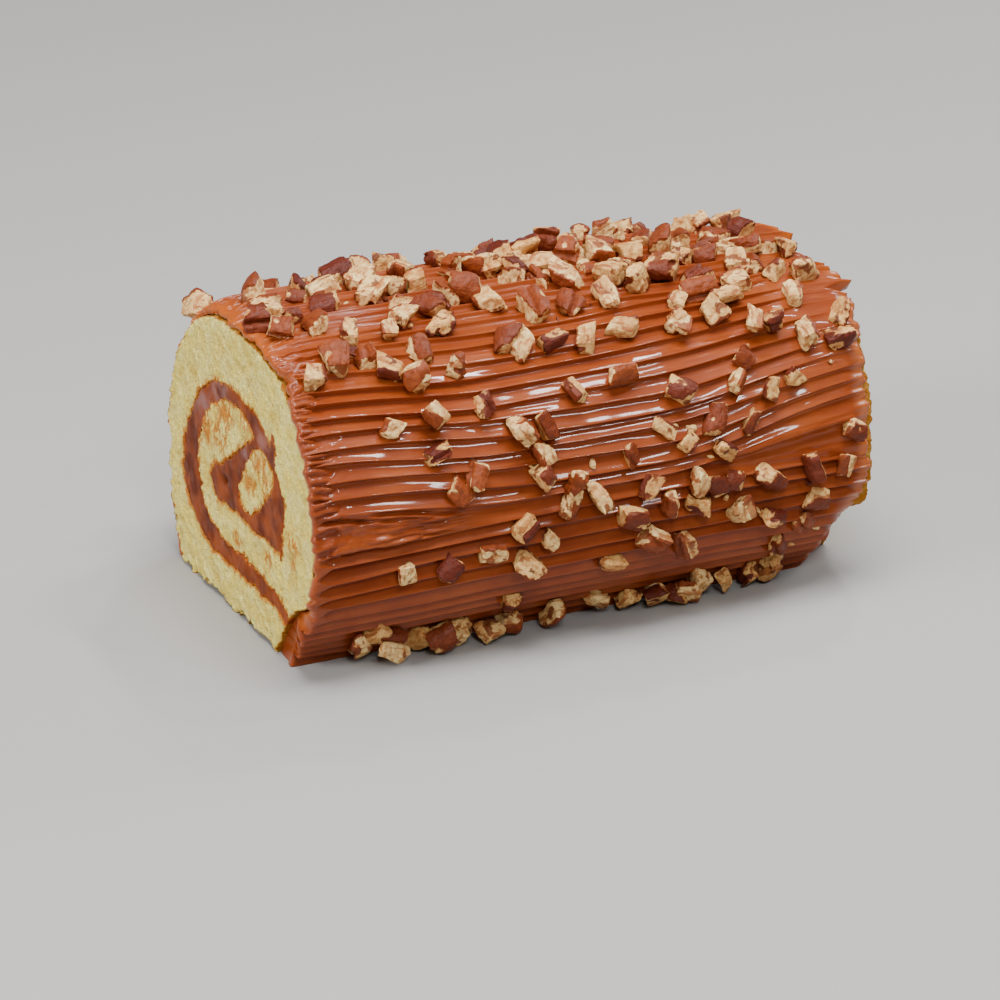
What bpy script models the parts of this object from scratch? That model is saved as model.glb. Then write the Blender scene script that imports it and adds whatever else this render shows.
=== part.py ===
"""Pecan cake roll: a sponge sheet rolled up round caramel spread, coated with combed caramel and chopped pecans.

Units are metres. X runs along the roll from the cut near face to the far one, -Y is the front, +Z is up. The
origin is on the resting plane, under the middle of the roll. A section is a list of (y, z) pairs.
"""

import math
import random

import bmesh
import bpy
from mathutils import Quaternion, Vector

# The roll as a whole. A station is a distance from the near face.
ROLL_LENGTH = 0.160
NEAR_FACE_X = -0.0810
GAP = 0.0003
LINING_GAP = 0.0004
TAPER_FROM = 0.100
TAPER_HEIGHT = 0.955
TAPER_WIDTH = 0.970
SECTION_STATIONS = (0.0, TAPER_FROM, ROLL_LENGTH)

# Outer edge of the sponge in section, from the front foot over the top to the back foot, each point beside the
# point of the coat's outer edge that covers it: (sponge y, sponge z, coat y, coat z).
SHELL_EDGES = (
    (-0.0230, 0.0000, -0.0335, 0.0000),
    (-0.0285, 0.0080, -0.0390, 0.0060),
    (-0.0365, 0.0165, -0.0465, 0.0140),
    (-0.0460, 0.0220, -0.0520, 0.0230),
    (-0.0498, 0.0320, -0.0542, 0.0330),
    (-0.0500, 0.0420, -0.0545, 0.0430),
    (-0.0485, 0.0530, -0.0528, 0.0545),
    (-0.0445, 0.0640, -0.0485, 0.0665),
    (-0.0370, 0.0735, -0.0405, 0.0765),
    (-0.0275, 0.0790, -0.0295, 0.0830),
    (-0.0145, 0.0810, -0.0145, 0.0853),
    (0.0005, 0.0810, 0.0005, 0.0855),
    (0.0135, 0.0800, 0.0145, 0.0840),
    (0.0255, 0.0755, 0.0270, 0.0793),
    (0.0355, 0.0675, 0.0380, 0.0705),
    (0.0435, 0.0575, 0.0468, 0.0595),
    (0.0485, 0.0450, 0.0525, 0.0460),
    (0.0500, 0.0330, 0.0543, 0.0330),
    (0.0490, 0.0200, 0.0535, 0.0190),
    (0.0460, 0.0080, 0.0515, 0.0070),
    (0.0435, 0.0000, 0.0495, 0.0000),
)
EDGE_STEPS = 3

# The layer of spread in section, from the seam at the front foot round to the middle: (y, z, half thickness).
SPREAD_BAND = (
    (-0.0325, 0.0122, 0.0018),
    (-0.0225, 0.0150, 0.0026),
    (-0.0045, 0.0157, 0.0030),
    (0.0135, 0.0158, 0.0034),
    (0.0255, 0.0190, 0.0046),
    (0.0330, 0.0275, 0.0062),
    (0.0325, 0.0375, 0.0052),
    (0.0275, 0.0478, 0.0034),
    (0.0195, 0.0560, 0.0031),
    (0.0075, 0.0613, 0.0023),
    (-0.0045, 0.0618, 0.0022),
    (-0.0135, 0.0590, 0.0034),
    (-0.0205, 0.0545, 0.0034),
)
BAND_STEPS = 3
SEAM_OVERRUN = 0.0025

# The spread gathered at the middle of the roll, and the inner end of the sheet that it closes in.
MIDDLE_SPREAD = (
    (-0.0195, 0.0590),
    (-0.0265, 0.0520),
    (-0.0308, 0.0465),
    (-0.0315, 0.0400),
    (-0.0300, 0.0335),
    (-0.0265, 0.0290),
    (-0.0195, 0.0295),
    (-0.0095, 0.0290),
    (0.0035, 0.0295),
    (0.0155, 0.0288),
    (0.0197, 0.0330),
    (0.0170, 0.0373),
    (0.0105, 0.0410),
    (0.0005, 0.0470),
    (-0.0065, 0.0520),
    (-0.0125, 0.0562),
)
SHEET_END = (
    (-0.0125, 0.0528),
    (-0.0175, 0.0538),
    (-0.0225, 0.0510),
    (-0.0243, 0.0475),
    (-0.0215, 0.0430),
    (-0.0165, 0.0388),
    (-0.0110, 0.0345),
    (-0.0055, 0.0322),
    (-0.0012, 0.0343),
    (-0.0006, 0.0378),
    (-0.0028, 0.0412),
    (-0.0075, 0.0475),
)
OUTLINE_STEPS = 2

# The comb's ridges on the coat. A place on the coat is its station and its reach, the distance along the coat's
# outer edge from the front foot.
RIDGE_PITCH = 0.00425
FLUTE_DEPTH = 0.0016
SEAM_RIDGE = 12
SEAM_RISE_NEAR = 0.0048
SEAM_RISE_FAR = 0.0095
RISE_FADE = 0.085
LOWER_DIP = 0.0018
WANDER = 0.0007
TIP_REACH = (0.0010, 0.0082)
COAT_LENGTH = 0.156
COAT_NEAR_SETBACK = 0.0006
COAT_NEAR_THINNING = 0.0007
COAT_NEAR_ZIGZAG = 0.0011
COAT_STATIONS = (0.0, 0.006, 0.026, 0.048, 0.074, TAPER_FROM, 0.120, 0.140, COAT_LENGTH)
COAT_INNER_STATIONS = (0.0, TAPER_FROM, COAT_LENGTH)

# Chopped pecans. A piece is a lobe of a nut cut by knife planes.
LOBE_SEMI_AXES = (0.0120, 0.0050, 0.0042)
LOBE_SIDES = 6
LOBE_COARSE_GROWTH = 1.06
PIECE_LENGTH = (0.0058, 0.0092)
PIECE_SCALE = (0.88, 1.14)
SPREAD_CANDIDATES = 3
SUNK_DEPTH = 0.0024
FOOT_ZONE = 0.0085
FOOT_PUSH = 0.0030
FLOOR_CLEARANCE = 0.0003
FLAT_ANGLE = math.radians(0.8)
# Patches of the coat and their pieces: (from station, to station, from reach, to reach, pieces, seed).
PECAN_PATCHES = (
    (0.012, 0.061, 0.001, 0.007, 6, 6114),
    (0.066, 0.103, 0.001, 0.007, 4, 17767),
    (0.104, 0.138, 0.001, 0.007, 5, 2716),
    (0.016, 0.060, 0.010, 0.020, 3, 3084),
    (0.076, 0.143, 0.020, 0.030, 4, 14111),
    (0.022, 0.067, 0.032, 0.046, 6, 13104),
    (0.084, 0.113, 0.033, 0.049, 7, 18599),
    (0.114, 0.151, 0.030, 0.049, 7, 6531),
    (0.035, 0.064, 0.053, 0.064, 4, 18759),
    (0.066, 0.096, 0.046, 0.060, 4, 14086),
    (0.095, 0.126, 0.055, 0.073, 7, 3677),
    (0.117, 0.154, 0.054, 0.083, 6, 16932),
    (0.023, 0.066, 0.065, 0.079, 6, 28488),
    (0.072, 0.092, 0.074, 0.080, 2, 34149),
    (0.025, 0.046, 0.084, 0.097, 4, 32621),
    (0.005, 0.033, 0.090, 0.106, 5, 14766),
    (0.036, 0.060, 0.101, 0.118, 5, 20237),
    (0.060, 0.095, 0.088, 0.106, 8, 25040),
    (0.062, 0.107, 0.106, 0.117, 4, 648),
    (0.106, 0.126, 0.087, 0.100, 5, 30854),
    (0.127, 0.154, 0.084, 0.105, 7, 4251),
    (0.002, 0.050, 0.113, 0.130, 9, 1),
    (0.052, 0.106, 0.117, 0.131, 10, 2),
    (0.106, 0.152, 0.104, 0.131, 13, 3),
    (0.003, 0.152, 0.131, 0.146, 20, 4),
    (0.006, 0.150, 0.147, 0.176, 16, 5),
    (0.010, 0.148, 0.178, 0.238, 13, 6),
)

SPONGE_COLOUR = (0.60, 0.50, 0.27, 1.0)
SPREAD_COLOUR = (0.24, 0.065, 0.018, 1.0)
COAT_COLOUR = (0.33, 0.085, 0.022, 1.0)


def smoothstep(value):
    value = min(1.0, max(0.0, value))
    return value * value * (3.0 - 2.0 * value)


def curve_value(control, place, closed=False):
    """The point of the Catmull-Rom curve through the control tuples, at a place counted in control points."""
    count = len(control)
    span = int(place) if closed else min(int(place), count - 2)
    part = place - span
    if closed:
        corners = [control[(span + k) % count] for k in (-1, 0, 1, 2)]
    else:
        corners = [control[min(max(span + k, 0), count - 1)] for k in (-1, 0, 1, 2)]
    return tuple(
        0.5 * (2 * b + (c - a) * part + (2 * a - 5 * b + 4 * c - d) * part**2 + (3 * b - a - 3 * c + d) * part**3)
        for a, b, c, d in zip(*corners)
    )


def sideways(before, after):
    """The unit vector to the left of the way from one section point to another."""
    along = (Vector(after) - Vector(before)).normalized()
    return Vector((-along.y, along.x))


class CoatEdge:
    """The outer edges of coat and sponge in section, read by reach: the distance along the coat's edge."""

    FINE = 16

    def __init__(self):
        last = (len(SHELL_EDGES) - 1) * self.FINE
        self.places = [i / self.FINE for i in range(last + 1)]
        points = [Vector(self.pair(place)[1]) for place in self.places]
        self.reaches = [0.0]
        for start, end in zip(points, points[1:]):
            self.reaches.append(self.reaches[-1] + (end - start).length)
        self.length = self.reaches[-1]

    def pair(self, place):
        """(sponge point, coat point) at a place counted in control points."""
        values = curve_value(SHELL_EDGES, place)
        return (values[0], max(values[1], 0.0)), (values[2], max(values[3], 0.0))

    def place(self, reach):
        reach = min(self.length, max(0.0, reach))
        low, high = 0, len(self.reaches) - 1
        while high - low > 1:
            middle = (low + high) // 2
            if self.reaches[middle] <= reach:
                low = middle
            else:
                high = middle
        part = (reach - self.reaches[low]) / (self.reaches[high] - self.reaches[low])
        return self.places[low] + part / self.FINE

    def point(self, reach):
        return Vector(self.pair(self.place(reach))[1])

    def normal(self, reach):
        """The direction out of the coat, in section."""
        step = 0.0006
        return sideways(self.point(reach - step), self.point(reach + step))

    def lining(self, reach):
        """The coat's inner edge: just clear of the sponge."""
        place = self.place(reach)
        last = len(SHELL_EDGES) - 1
        before = self.pair(max(place - 0.05, 0.0))[0]
        after = self.pair(min(place + 0.05, last))[0]
        y, z = Vector(self.pair(place)[0]) + sideways(before, after) * LINING_GAP
        if place in (0, last):
            z = 0.0
        return y, max(z, 0.0)


EDGE = CoatEdge()
RIDGES = int(EDGE.length / RIDGE_PITCH)


def tapered(station, y, z):
    """A section point moved in as the roll narrows towards its far face."""
    share = max(0.0, (station - TAPER_FROM) / (ROLL_LENGTH - TAPER_FROM))
    return y * (1.0 - share * (1.0 - TAPER_WIDTH)), z * (1.0 - share * (1.0 - TAPER_HEIGHT))


def wobble(number, seed):
    """A repeatable value from -1 to 1 for a whole number."""
    return random.Random(number * 7919 + seed).uniform(-1.0, 1.0)


def ridge_reach(ridge, station):
    """The reach of a ridge at a station. The upper ridges were combed in a stroke that rises from the lower one."""
    base = ridge * EDGE.length / RIDGES
    near = 1.0 - smoothstep(station / 0.055)
    far = smoothstep((station - 0.095) / 0.068)
    if ridge >= SEAM_RIDGE:
        fade = 1.0 - smoothstep((ridge - SEAM_RIDGE) * RIDGE_PITCH / RISE_FADE)
        shift = (SEAM_RISE_NEAR * near + SEAM_RISE_FAR * far) * fade
    else:
        shift = -LOWER_DIP * near * ridge / SEAM_RIDGE
    steady = math.sin(math.pi * ridge / RIDGES)
    return base + shift + WANDER * steady * math.sin(station / 0.021 + 2.0 * wobble(ridge // 6, 5))


def tip_reach(ridge):
    """How far a ridge is drawn out past the coat's far end."""
    low, high = TIP_REACH
    return low + (high - low) * (0.5 + 0.5 * wobble(ridge, 11)) ** 1.5


def material(name, colour, roughness):
    made = bpy.data.materials.new(name)
    made.use_nodes = True
    shader = made.node_tree.nodes["Principled BSDF"]
    shader.inputs["Base Color"].default_value = colour
    shader.inputs["Roughness"].default_value = roughness
    made.diffuse_color = colour
    return made


def add_object(name, mesh, collection):
    obj = bpy.data.objects.new(name, mesh)
    collection.objects.link(obj)
    return obj


def close_up(build, name):
    """A mesh from a closed bmesh, with its faces pointing out."""
    bmesh.ops.recalc_face_normals(build, faces=build.faces)
    mesh = bpy.data.meshes.new(name)
    build.to_mesh(mesh)
    build.free()
    return mesh


def loft(name, section, collection, overrun=0.0):
    """A closed solid with the given section, from the near face to the far one, that narrows as the roll does."""
    build = bmesh.new()
    rings = []
    for station in (-overrun, *SECTION_STATIONS[1:-1], ROLL_LENGTH + overrun):
        x = NEAR_FACE_X + station
        rings.append([build.verts.new((x, *tapered(station, y, z))) for y, z in section])
    for ring, following in zip(rings, rings[1:]):
        for i in range(len(ring)):
            build.faces.new((ring[i - 1], ring[i], following[i], following[i - 1]))
    build.faces.new(rings[0])
    build.faces.new(rings[-1])
    return add_object(name, close_up(build, name), collection)


def band_section(grown, overrun):
    """The closed outline of the layer of spread, grown to each side, and run on past its seam end."""
    count = (len(SPREAD_BAND) - 1) * BAND_STEPS
    samples = [curve_value(SPREAD_BAND, i / BAND_STEPS) for i in range(count + 1)]
    left, right = [], []
    for i, (y, z, half) in enumerate(samples):
        before = samples[max(i - 1, 0)]
        after = samples[min(i + 1, count)]
        aside = sideways(before[:2], after[:2])
        middle = Vector((y, z))
        if i == 0:
            middle -= Vector((aside.y, -aside.x)) * overrun
        left.append(tuple(middle + aside * (half + grown)))
        right.append(tuple(middle - aside * (half + grown)))
    return left + right[::-1]


def closed_section(control, grown=0.0):
    """The closed outline through the control points, grown outward; the points run with the inside to their left."""
    count = len(control) * OUTLINE_STEPS
    samples = [curve_value(control, i / OUTLINE_STEPS, closed=True) for i in range(count)]
    outline = []
    for i, sample in enumerate(samples):
        aside = sideways(samples[i - 1], samples[(i + 1) % count])
        outline.append(tuple(Vector(sample) - aside * grown))
    return outline


def apply_boolean(obj, operation, others, solver="EXACT"):
    """Cuts or joins obj with the objects of a collection, which are then removed."""
    boolean = obj.modifiers.new("join", "BOOLEAN")
    boolean.operation = operation
    boolean.solver = solver
    boolean.operand_type = "COLLECTION"
    boolean.collection = others
    bpy.context.view_layer.update()
    graph = bpy.context.evaluated_depsgraph_get()
    result = bpy.data.meshes.new_from_object(obj.evaluated_get(graph))
    obj.modifiers.clear()
    obj.data = result
    for used in list(others.objects):
        bpy.data.objects.remove(used)


def helper_collection(name):
    """A collection for cutters and for pieces to be joined on."""
    made = bpy.data.collections.new(name)
    bpy.context.scene.collection.children.link(made)
    return made


def spread_solid(name, collection, helpers, grown=0.0, overrun=0.0, seam_overrun=0.0):
    """The layer of spread with the spread at the roll's middle."""
    solid = loft(name, band_section(grown, seam_overrun), collection, overrun)
    loft(name + "_middle", closed_section(MIDDLE_SPREAD, grown), helpers, overrun)
    apply_boolean(solid, "UNION", helpers)
    return solid


def roll_section():
    """The closed outline of the whole roll inside the coat."""
    places = (len(SHELL_EDGES) - 1) * EDGE_STEPS
    return [EDGE.pair(i / EDGE_STEPS)[0] for i in range(places + 1)]


def build_sponge(parts, helpers, finish):
    """The rolled sheet, cut through along the layer of spread."""
    sponge = loft("sponge", roll_section(), parts)
    cutters = helper_collection("sponge_cutters")
    spread_solid("spread_cutter", cutters, helpers, GAP, 0.004, SEAM_OVERRUN)
    apply_boolean(sponge, "DIFFERENCE", cutters)
    sponge.data.materials.clear()
    sponge.data.materials.append(finish)


def build_filling(parts, helpers, finish):
    """The spread, flush with the roll at the seam, with a way through it for the sheet's inner end."""
    filling = spread_solid("filling", parts, helpers, seam_overrun=SEAM_OVERRUN)
    loft("roll_limit", roll_section(), helpers, 0.004)
    apply_boolean(filling, "INTERSECT", helpers)
    loft("sheet_end_cutter", closed_section(SHEET_END, GAP), helpers, 0.004)
    apply_boolean(filling, "DIFFERENCE", helpers)
    filling.data.materials.clear()
    filling.data.materials.append(finish)


def build_core(parts, finish):
    """The sheet's inner end."""
    core = loft("sponge_core", closed_section(SHEET_END), parts)
    core.data.materials.append(finish)


def coat_outer_ring(build, station):
    """The coat's outer edge at a station: a ridge, the groove after it, and so on to the back foot."""
    first = station == COAT_STATIONS[0]
    last = station == COAT_STATIONS[-1]
    thinner = COAT_NEAR_THINNING if first else 0.0
    reaches = [0.0] + [ridge_reach(ridge, station) for ridge in range(1, RIDGES)] + [EDGE.length]
    ring = []
    for column in range(2 * RIDGES + 1):
        ridge, groove = divmod(column, 2)
        reach = (reaches[ridge] + reaches[ridge + 1]) / 2 if groove else reaches[ridge]
        foot = ridge in (0, RIDGES) and not groove
        depth = thinner + (FLUTE_DEPTH if groove else 0.0)
        point = EDGE.point(reach) - EDGE.normal(reach) * depth
        y, z = tapered(station, point.x, 0.0 if foot else max(point.y, 0.0002))
        x = NEAR_FACE_X + station
        if first:
            x += COAT_NEAR_SETBACK + (COAT_NEAR_ZIGZAG if groove else -COAT_NEAR_ZIGZAG)
        if last and not groove and not foot:
            x += tip_reach(ridge)
        ring.append((build.verts.new((x, y, z)), reach))
    return ring


def coat_mesh():
    """The combed caramel over the front, top and back of the roll, open below."""
    build = bmesh.new()
    outer = [coat_outer_ring(build, station) for station in COAT_STATIONS]
    inner = []
    for station in COAT_INNER_STATIONS:
        source = outer[COAT_STATIONS.index(station)]
        x = NEAR_FACE_X + station + (COAT_NEAR_SETBACK if station == 0.0 else 0.0)
        lining = [EDGE.lining(reach) for _, reach in source[::2]]
        inner.append([build.verts.new((x, *tapered(station, y, z))) for y, z in lining])
    outer = [[vert for vert, _ in ring] for ring in outer]
    for rings in (outer, inner):
        for ring, following in zip(rings, rings[1:]):
            for i in range(1, len(ring)):
                build.faces.new((ring[i - 1], ring[i], following[i], following[i - 1]))
    for outside, inside in ((outer[0], inner[0]), (outer[-1], inner[-1])):
        for i in range(1, len(inside)):
            build.faces.new((*outside[2 * i - 2 : 2 * i + 1], inside[i], inside[i - 1]))
    for foot in (0, -1):
        build.faces.new([ring[foot] for ring in outer] + [ring[foot] for ring in reversed(inner)])
    bmesh.ops.triangulate(build, faces=build.faces)
    return close_up(build, "icing")


def pecan_spots():
    """Places of the pieces as (station, reach), each the roomiest of a few random ones in its patch."""
    spots = []
    for low_x, high_x, low_reach, high_reach, pieces, seed in PECAN_PATCHES:
        draw = random.Random(seed)
        for _ in range(pieces):
            best, best_room = None, -1.0
            for _ in range(SPREAD_CANDIDATES):
                spot = (draw.uniform(low_x, high_x), draw.uniform(low_reach, high_reach))
                room = min((math.dist(spot, other) for other in spots), default=1.0)
                if room > best_room:
                    best, best_room = spot, room
            spots.append(best)
    return spots


def knife_cuts(draw):
    """The planes that a piece is cut by, as (point, outward normal) in the lobe's own axes."""
    long_axis, wide_axis, high_axis = LOBE_SEMI_AXES
    length = draw.uniform(*PIECE_LENGTH)
    middle = draw.uniform(-0.35, 0.35) * (2 * long_axis - length) / 2

    def tilt():
        return draw.uniform(-0.40, 0.40)

    side = draw.choice((-1.0, 1.0))
    return (
        (Vector((middle + length / 2, 0.0, 0.0)), Vector((1.0, tilt(), tilt()))),
        (Vector((middle - length / 2, 0.0, 0.0)), Vector((-1.0, tilt(), tilt()))),
        (Vector((middle, side * draw.uniform(-0.10, 0.55) * wide_axis, 0.0)), Vector((tilt(), side, tilt()))),
        (Vector((middle, 0.0, -draw.uniform(0.10, 0.45) * high_axis)), Vector((tilt() / 3, tilt() / 3, -1.0))),
    )


def nut_piece(cuts):
    """A coarse closed piece of a nut lobe, moved so that the middle of its box is at the origin."""
    build = bmesh.new()
    long_axis, wide_axis, high_axis = LOBE_SEMI_AXES
    rings = []
    for end in (-long_axis, long_axis):
        ring = []
        for side in range(LOBE_SIDES):
            angle = 2.0 * math.pi * side / LOBE_SIDES
            across = wide_axis * LOBE_COARSE_GROWTH * math.cos(angle)
            up = high_axis * LOBE_COARSE_GROWTH * math.sin(angle)
            ring.append(build.verts.new((end, across, up)))
        rings.append(ring)
    near_ring, far_ring = rings
    for side in range(LOBE_SIDES):
        build.faces.new((near_ring[side - 1], near_ring[side], far_ring[side], far_ring[side - 1]))
    build.faces.new(near_ring)
    build.faces.new(far_ring)
    for point, normal in cuts:
        geometry = list(build.verts) + list(build.edges) + list(build.faces)
        cut = bmesh.ops.bisect_plane(build, geom=geometry, plane_co=point, plane_no=normal, clear_outer=True)
        edges = [item for item in cut["geom_cut"] if isinstance(item, bmesh.types.BMEdge)]
        bmesh.ops.contextual_create(build, geom=edges)
    bmesh.ops.remove_doubles(build, verts=build.verts, dist=0.0001)
    bmesh.ops.triangulate(build, faces=build.faces)
    lows = [min(vert.co[axis] for vert in build.verts) for axis in range(3)]
    highs = [max(vert.co[axis] for vert in build.verts) for axis in range(3)]
    middle = Vector([(low + high) / 2 for low, high in zip(lows, highs)])
    bmesh.ops.translate(build, verts=build.verts, vec=-middle)
    return build


def piece_turn(draw, out):
    """A piece's turn: one of its sides on the coat, rolled over at random, and then to the way out of the coat."""
    spin = Quaternion((0.0, 0.0, 1.0), draw.uniform(0.0, 2.0 * math.pi))
    roll = Quaternion((1.0, 0.0, 0.0), draw.choice((0.0, 0.5, 1.0, 1.5)) * math.pi + draw.uniform(-0.35, 0.35))
    pitch = Quaternion((0.0, 1.0, 0.0), draw.uniform(-0.30, 0.30))
    return Vector((0.0, 0.0, 1.0)).rotation_difference(out) @ spin @ pitch @ roll


def pecan_piece(number, station, reach):
    """The mesh of one piece where it lies, and its volume."""
    draw = random.Random(1000 + number)
    size = draw.uniform(*PIECE_SCALE)
    build = nut_piece(knife_cuts(draw))
    normal = EDGE.normal(reach)
    out = Vector((0.0, normal.x, normal.y))
    turn = piece_turn(draw, out)
    for vert in build.verts:
        vert.co = turn @ (vert.co * size)
    depth = -min(vert.co.dot(out) for vert in build.verts)
    point = EDGE.point(reach)
    y, z = tapered(station, point.x, point.y)
    spot = Vector((NEAR_FACE_X + station, y, z)) + out * (depth - SUNK_DEPTH)
    if reach < FOOT_ZONE:
        spot.y -= FOOT_PUSH * draw.uniform(0.2, 1.0)
    low = min(vert.co.z for vert in build.verts)
    spot.z = max(spot.z, FLOOR_CLEARANCE - low)
    bmesh.ops.translate(build, verts=build.verts, vec=spot)
    volume = build.calc_volume()
    return volume, close_up(build, f"pecan_{number:03d}")


def largest_body(mesh, name):
    """The mesh without loose scraps and without the walls of sealed hollows: its largest connected piece."""
    build = bmesh.new()
    build.from_mesh(mesh)
    left = set(build.faces)
    best, best_area = set(), 0.0
    while left:
        stack = [left.pop()]
        piece = set(stack)
        while stack:
            for edge in stack.pop().edges:
                for face in edge.link_faces:
                    if face in left:
                        left.discard(face)
                        piece.add(face)
                        stack.append(face)
        area = sum(face.calc_area() for face in piece)
        if area > best_area:
            best, best_area = piece, area
    bmesh.ops.delete(build, geom=[face for face in build.faces if face not in best], context="FACES")
    bmesh.ops.dissolve_limit(build, angle_limit=FLAT_ANGLE, verts=build.verts, edges=build.edges)
    bmesh.ops.triangulate(build, faces=build.faces)
    bmesh.ops.dissolve_degenerate(build, edges=build.edges, dist=0.000002)
    bmesh.ops.triangulate(build, faces=build.faces)
    return close_up(build, name)


def build_icing(parts, helpers, finish):
    """The coat with its pecans joined on, the largest first."""
    icing = add_object("icing", coat_mesh(), parts)
    pieces = [pecan_piece(number, *spot) for number, spot in enumerate(pecan_spots())]
    pieces.sort(key=lambda piece: -piece[0])
    for _, mesh in pieces:
        add_object(mesh.name, mesh, helpers)
    apply_boolean(icing, "UNION", helpers, solver="MANIFOLD")
    icing.data = largest_body(icing.data, "icing")
    icing.data.materials.append(finish)


def main():
    for obj in list(bpy.data.objects):
        bpy.data.objects.remove(obj)
    parts = bpy.context.scene.collection
    helpers = helper_collection("helpers")
    sponge = material("sponge", SPONGE_COLOUR, 0.95)
    spread = material("caramel spread", SPREAD_COLOUR, 0.45)
    coat = material("caramel coat", COAT_COLOUR, 0.35)
    build_sponge(parts, helpers, sponge)
    build_filling(parts, helpers, spread)
    build_core(parts, sponge)
    build_icing(parts, helpers, coat)


main()
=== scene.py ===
"""Looks of the pecan cake roll: combed caramel coat, chopped pecans, cut sponge and caramel spread.

Units are metres. X runs along the roll from the cut near face, -Y is the front, +Z is up.
"""

import math
import random

import bmesh
import bpy
import numpy as np
from mathutils import Matrix, Quaternion, Vector
from mathutils.geometry import delaunay_2d_cdt


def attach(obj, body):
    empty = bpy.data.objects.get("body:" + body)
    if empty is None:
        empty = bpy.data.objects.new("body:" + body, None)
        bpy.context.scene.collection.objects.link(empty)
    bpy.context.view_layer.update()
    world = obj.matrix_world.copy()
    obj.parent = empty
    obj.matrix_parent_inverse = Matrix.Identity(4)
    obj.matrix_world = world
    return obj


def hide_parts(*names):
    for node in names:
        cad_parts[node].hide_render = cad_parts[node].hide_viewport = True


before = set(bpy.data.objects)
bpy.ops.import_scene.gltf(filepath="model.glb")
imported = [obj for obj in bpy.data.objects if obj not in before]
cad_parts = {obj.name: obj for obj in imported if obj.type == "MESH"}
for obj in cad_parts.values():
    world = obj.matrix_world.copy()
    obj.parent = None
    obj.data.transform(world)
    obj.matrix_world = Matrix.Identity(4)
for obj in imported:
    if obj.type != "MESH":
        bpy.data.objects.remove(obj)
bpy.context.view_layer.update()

# The roll as the solids have it. A station is a distance from the near face.
ROLL_LENGTH = 0.160
NEAR_FACE_X = -0.0810
LINING_GAP = 0.0004
TAPER_FROM = 0.100
TAPER_HEIGHT = 0.955
TAPER_WIDTH = 0.970

# Outer edge of the sponge in section, from the front foot over the top to the back foot, each point beside
# the point of the coat's outer edge that covers it: (sponge y, sponge z, coat y, coat z).
SHELL_EDGES = (
    (-0.0230, 0.0000, -0.0335, 0.0000),
    (-0.0285, 0.0080, -0.0390, 0.0060),
    (-0.0365, 0.0165, -0.0465, 0.0140),
    (-0.0460, 0.0220, -0.0520, 0.0230),
    (-0.0498, 0.0320, -0.0542, 0.0330),
    (-0.0500, 0.0420, -0.0545, 0.0430),
    (-0.0485, 0.0530, -0.0528, 0.0545),
    (-0.0445, 0.0640, -0.0485, 0.0665),
    (-0.0370, 0.0735, -0.0405, 0.0765),
    (-0.0275, 0.0790, -0.0295, 0.0830),
    (-0.0145, 0.0810, -0.0145, 0.0853),
    (0.0005, 0.0810, 0.0005, 0.0855),
    (0.0135, 0.0800, 0.0145, 0.0840),
    (0.0255, 0.0755, 0.0270, 0.0793),
    (0.0355, 0.0675, 0.0380, 0.0705),
    (0.0435, 0.0575, 0.0468, 0.0595),
    (0.0485, 0.0450, 0.0525, 0.0460),
    (0.0500, 0.0330, 0.0543, 0.0330),
    (0.0490, 0.0200, 0.0535, 0.0190),
    (0.0460, 0.0080, 0.0515, 0.0070),
    (0.0435, 0.0000, 0.0495, 0.0000),
)
# The layer of spread in section: (y, z, half thickness).
SPREAD_BAND = (
    (-0.0325, 0.0122, 0.0018),
    (-0.0225, 0.0150, 0.0026),
    (-0.0045, 0.0157, 0.0030),
    (0.0135, 0.0158, 0.0034),
    (0.0255, 0.0190, 0.0046),
    (0.0330, 0.0275, 0.0062),
    (0.0325, 0.0375, 0.0052),
    (0.0275, 0.0478, 0.0034),
    (0.0195, 0.0560, 0.0031),
    (0.0075, 0.0613, 0.0023),
    (-0.0045, 0.0618, 0.0022),
    (-0.0135, 0.0590, 0.0034),
    (-0.0205, 0.0545, 0.0034),
)
# The spread gathered at the middle of the roll, and the inner end of the sheet that it closes in.
MIDDLE_SPREAD = (
    (-0.0195, 0.0590),
    (-0.0265, 0.0520),
    (-0.0308, 0.0465),
    (-0.0315, 0.0400),
    (-0.0300, 0.0335),
    (-0.0265, 0.0290),
    (-0.0195, 0.0295),
    (-0.0095, 0.0290),
    (0.0035, 0.0295),
    (0.0155, 0.0288),
    (0.0197, 0.0330),
    (0.0170, 0.0373),
    (0.0105, 0.0410),
    (0.0005, 0.0470),
    (-0.0065, 0.0520),
    (-0.0125, 0.0562),
)
SHEET_END = (
    (-0.0125, 0.0528),
    (-0.0175, 0.0538),
    (-0.0225, 0.0510),
    (-0.0243, 0.0475),
    (-0.0215, 0.0430),
    (-0.0165, 0.0388),
    (-0.0110, 0.0345),
    (-0.0055, 0.0322),
    (-0.0012, 0.0343),
    (-0.0006, 0.0378),
    (-0.0028, 0.0412),
    (-0.0075, 0.0475),
)

# The comb's ridges on the coat. A place on the coat is its station and its reach, the distance along the
# coat's outer edge from the front foot.
RIDGE_PITCH = 0.00425
FLUTE_DEPTH = 0.0020
FLUTE_BOTTOM = 0.84
CREST_ROUNDING = 0.10
# The two strokes of the comb part under ridge SEAM_RIDGE. The rises and the dip are how far they part.
SEAM_RIDGE = 12
SEAM_RISE_NEAR = 0.0048
SEAM_RISE_FAR = 0.0095
RISE_FADE = 0.085
LOWER_DIP = 0.0018
# How far a ridge wanders in slow waves, and how far at random.
WANDER = 0.0007
RIDGE_SHIFT = 0.00080
# The far end: the length and curl of its torn tips, and how far the upper part reaches past the lower.
TIP_REACH = (0.0010, 0.0082)
TIP_CURL = 0.0024
UPPER_OVERHANG = 0.0026
LOWER_SETBACK = 0.0022
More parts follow.
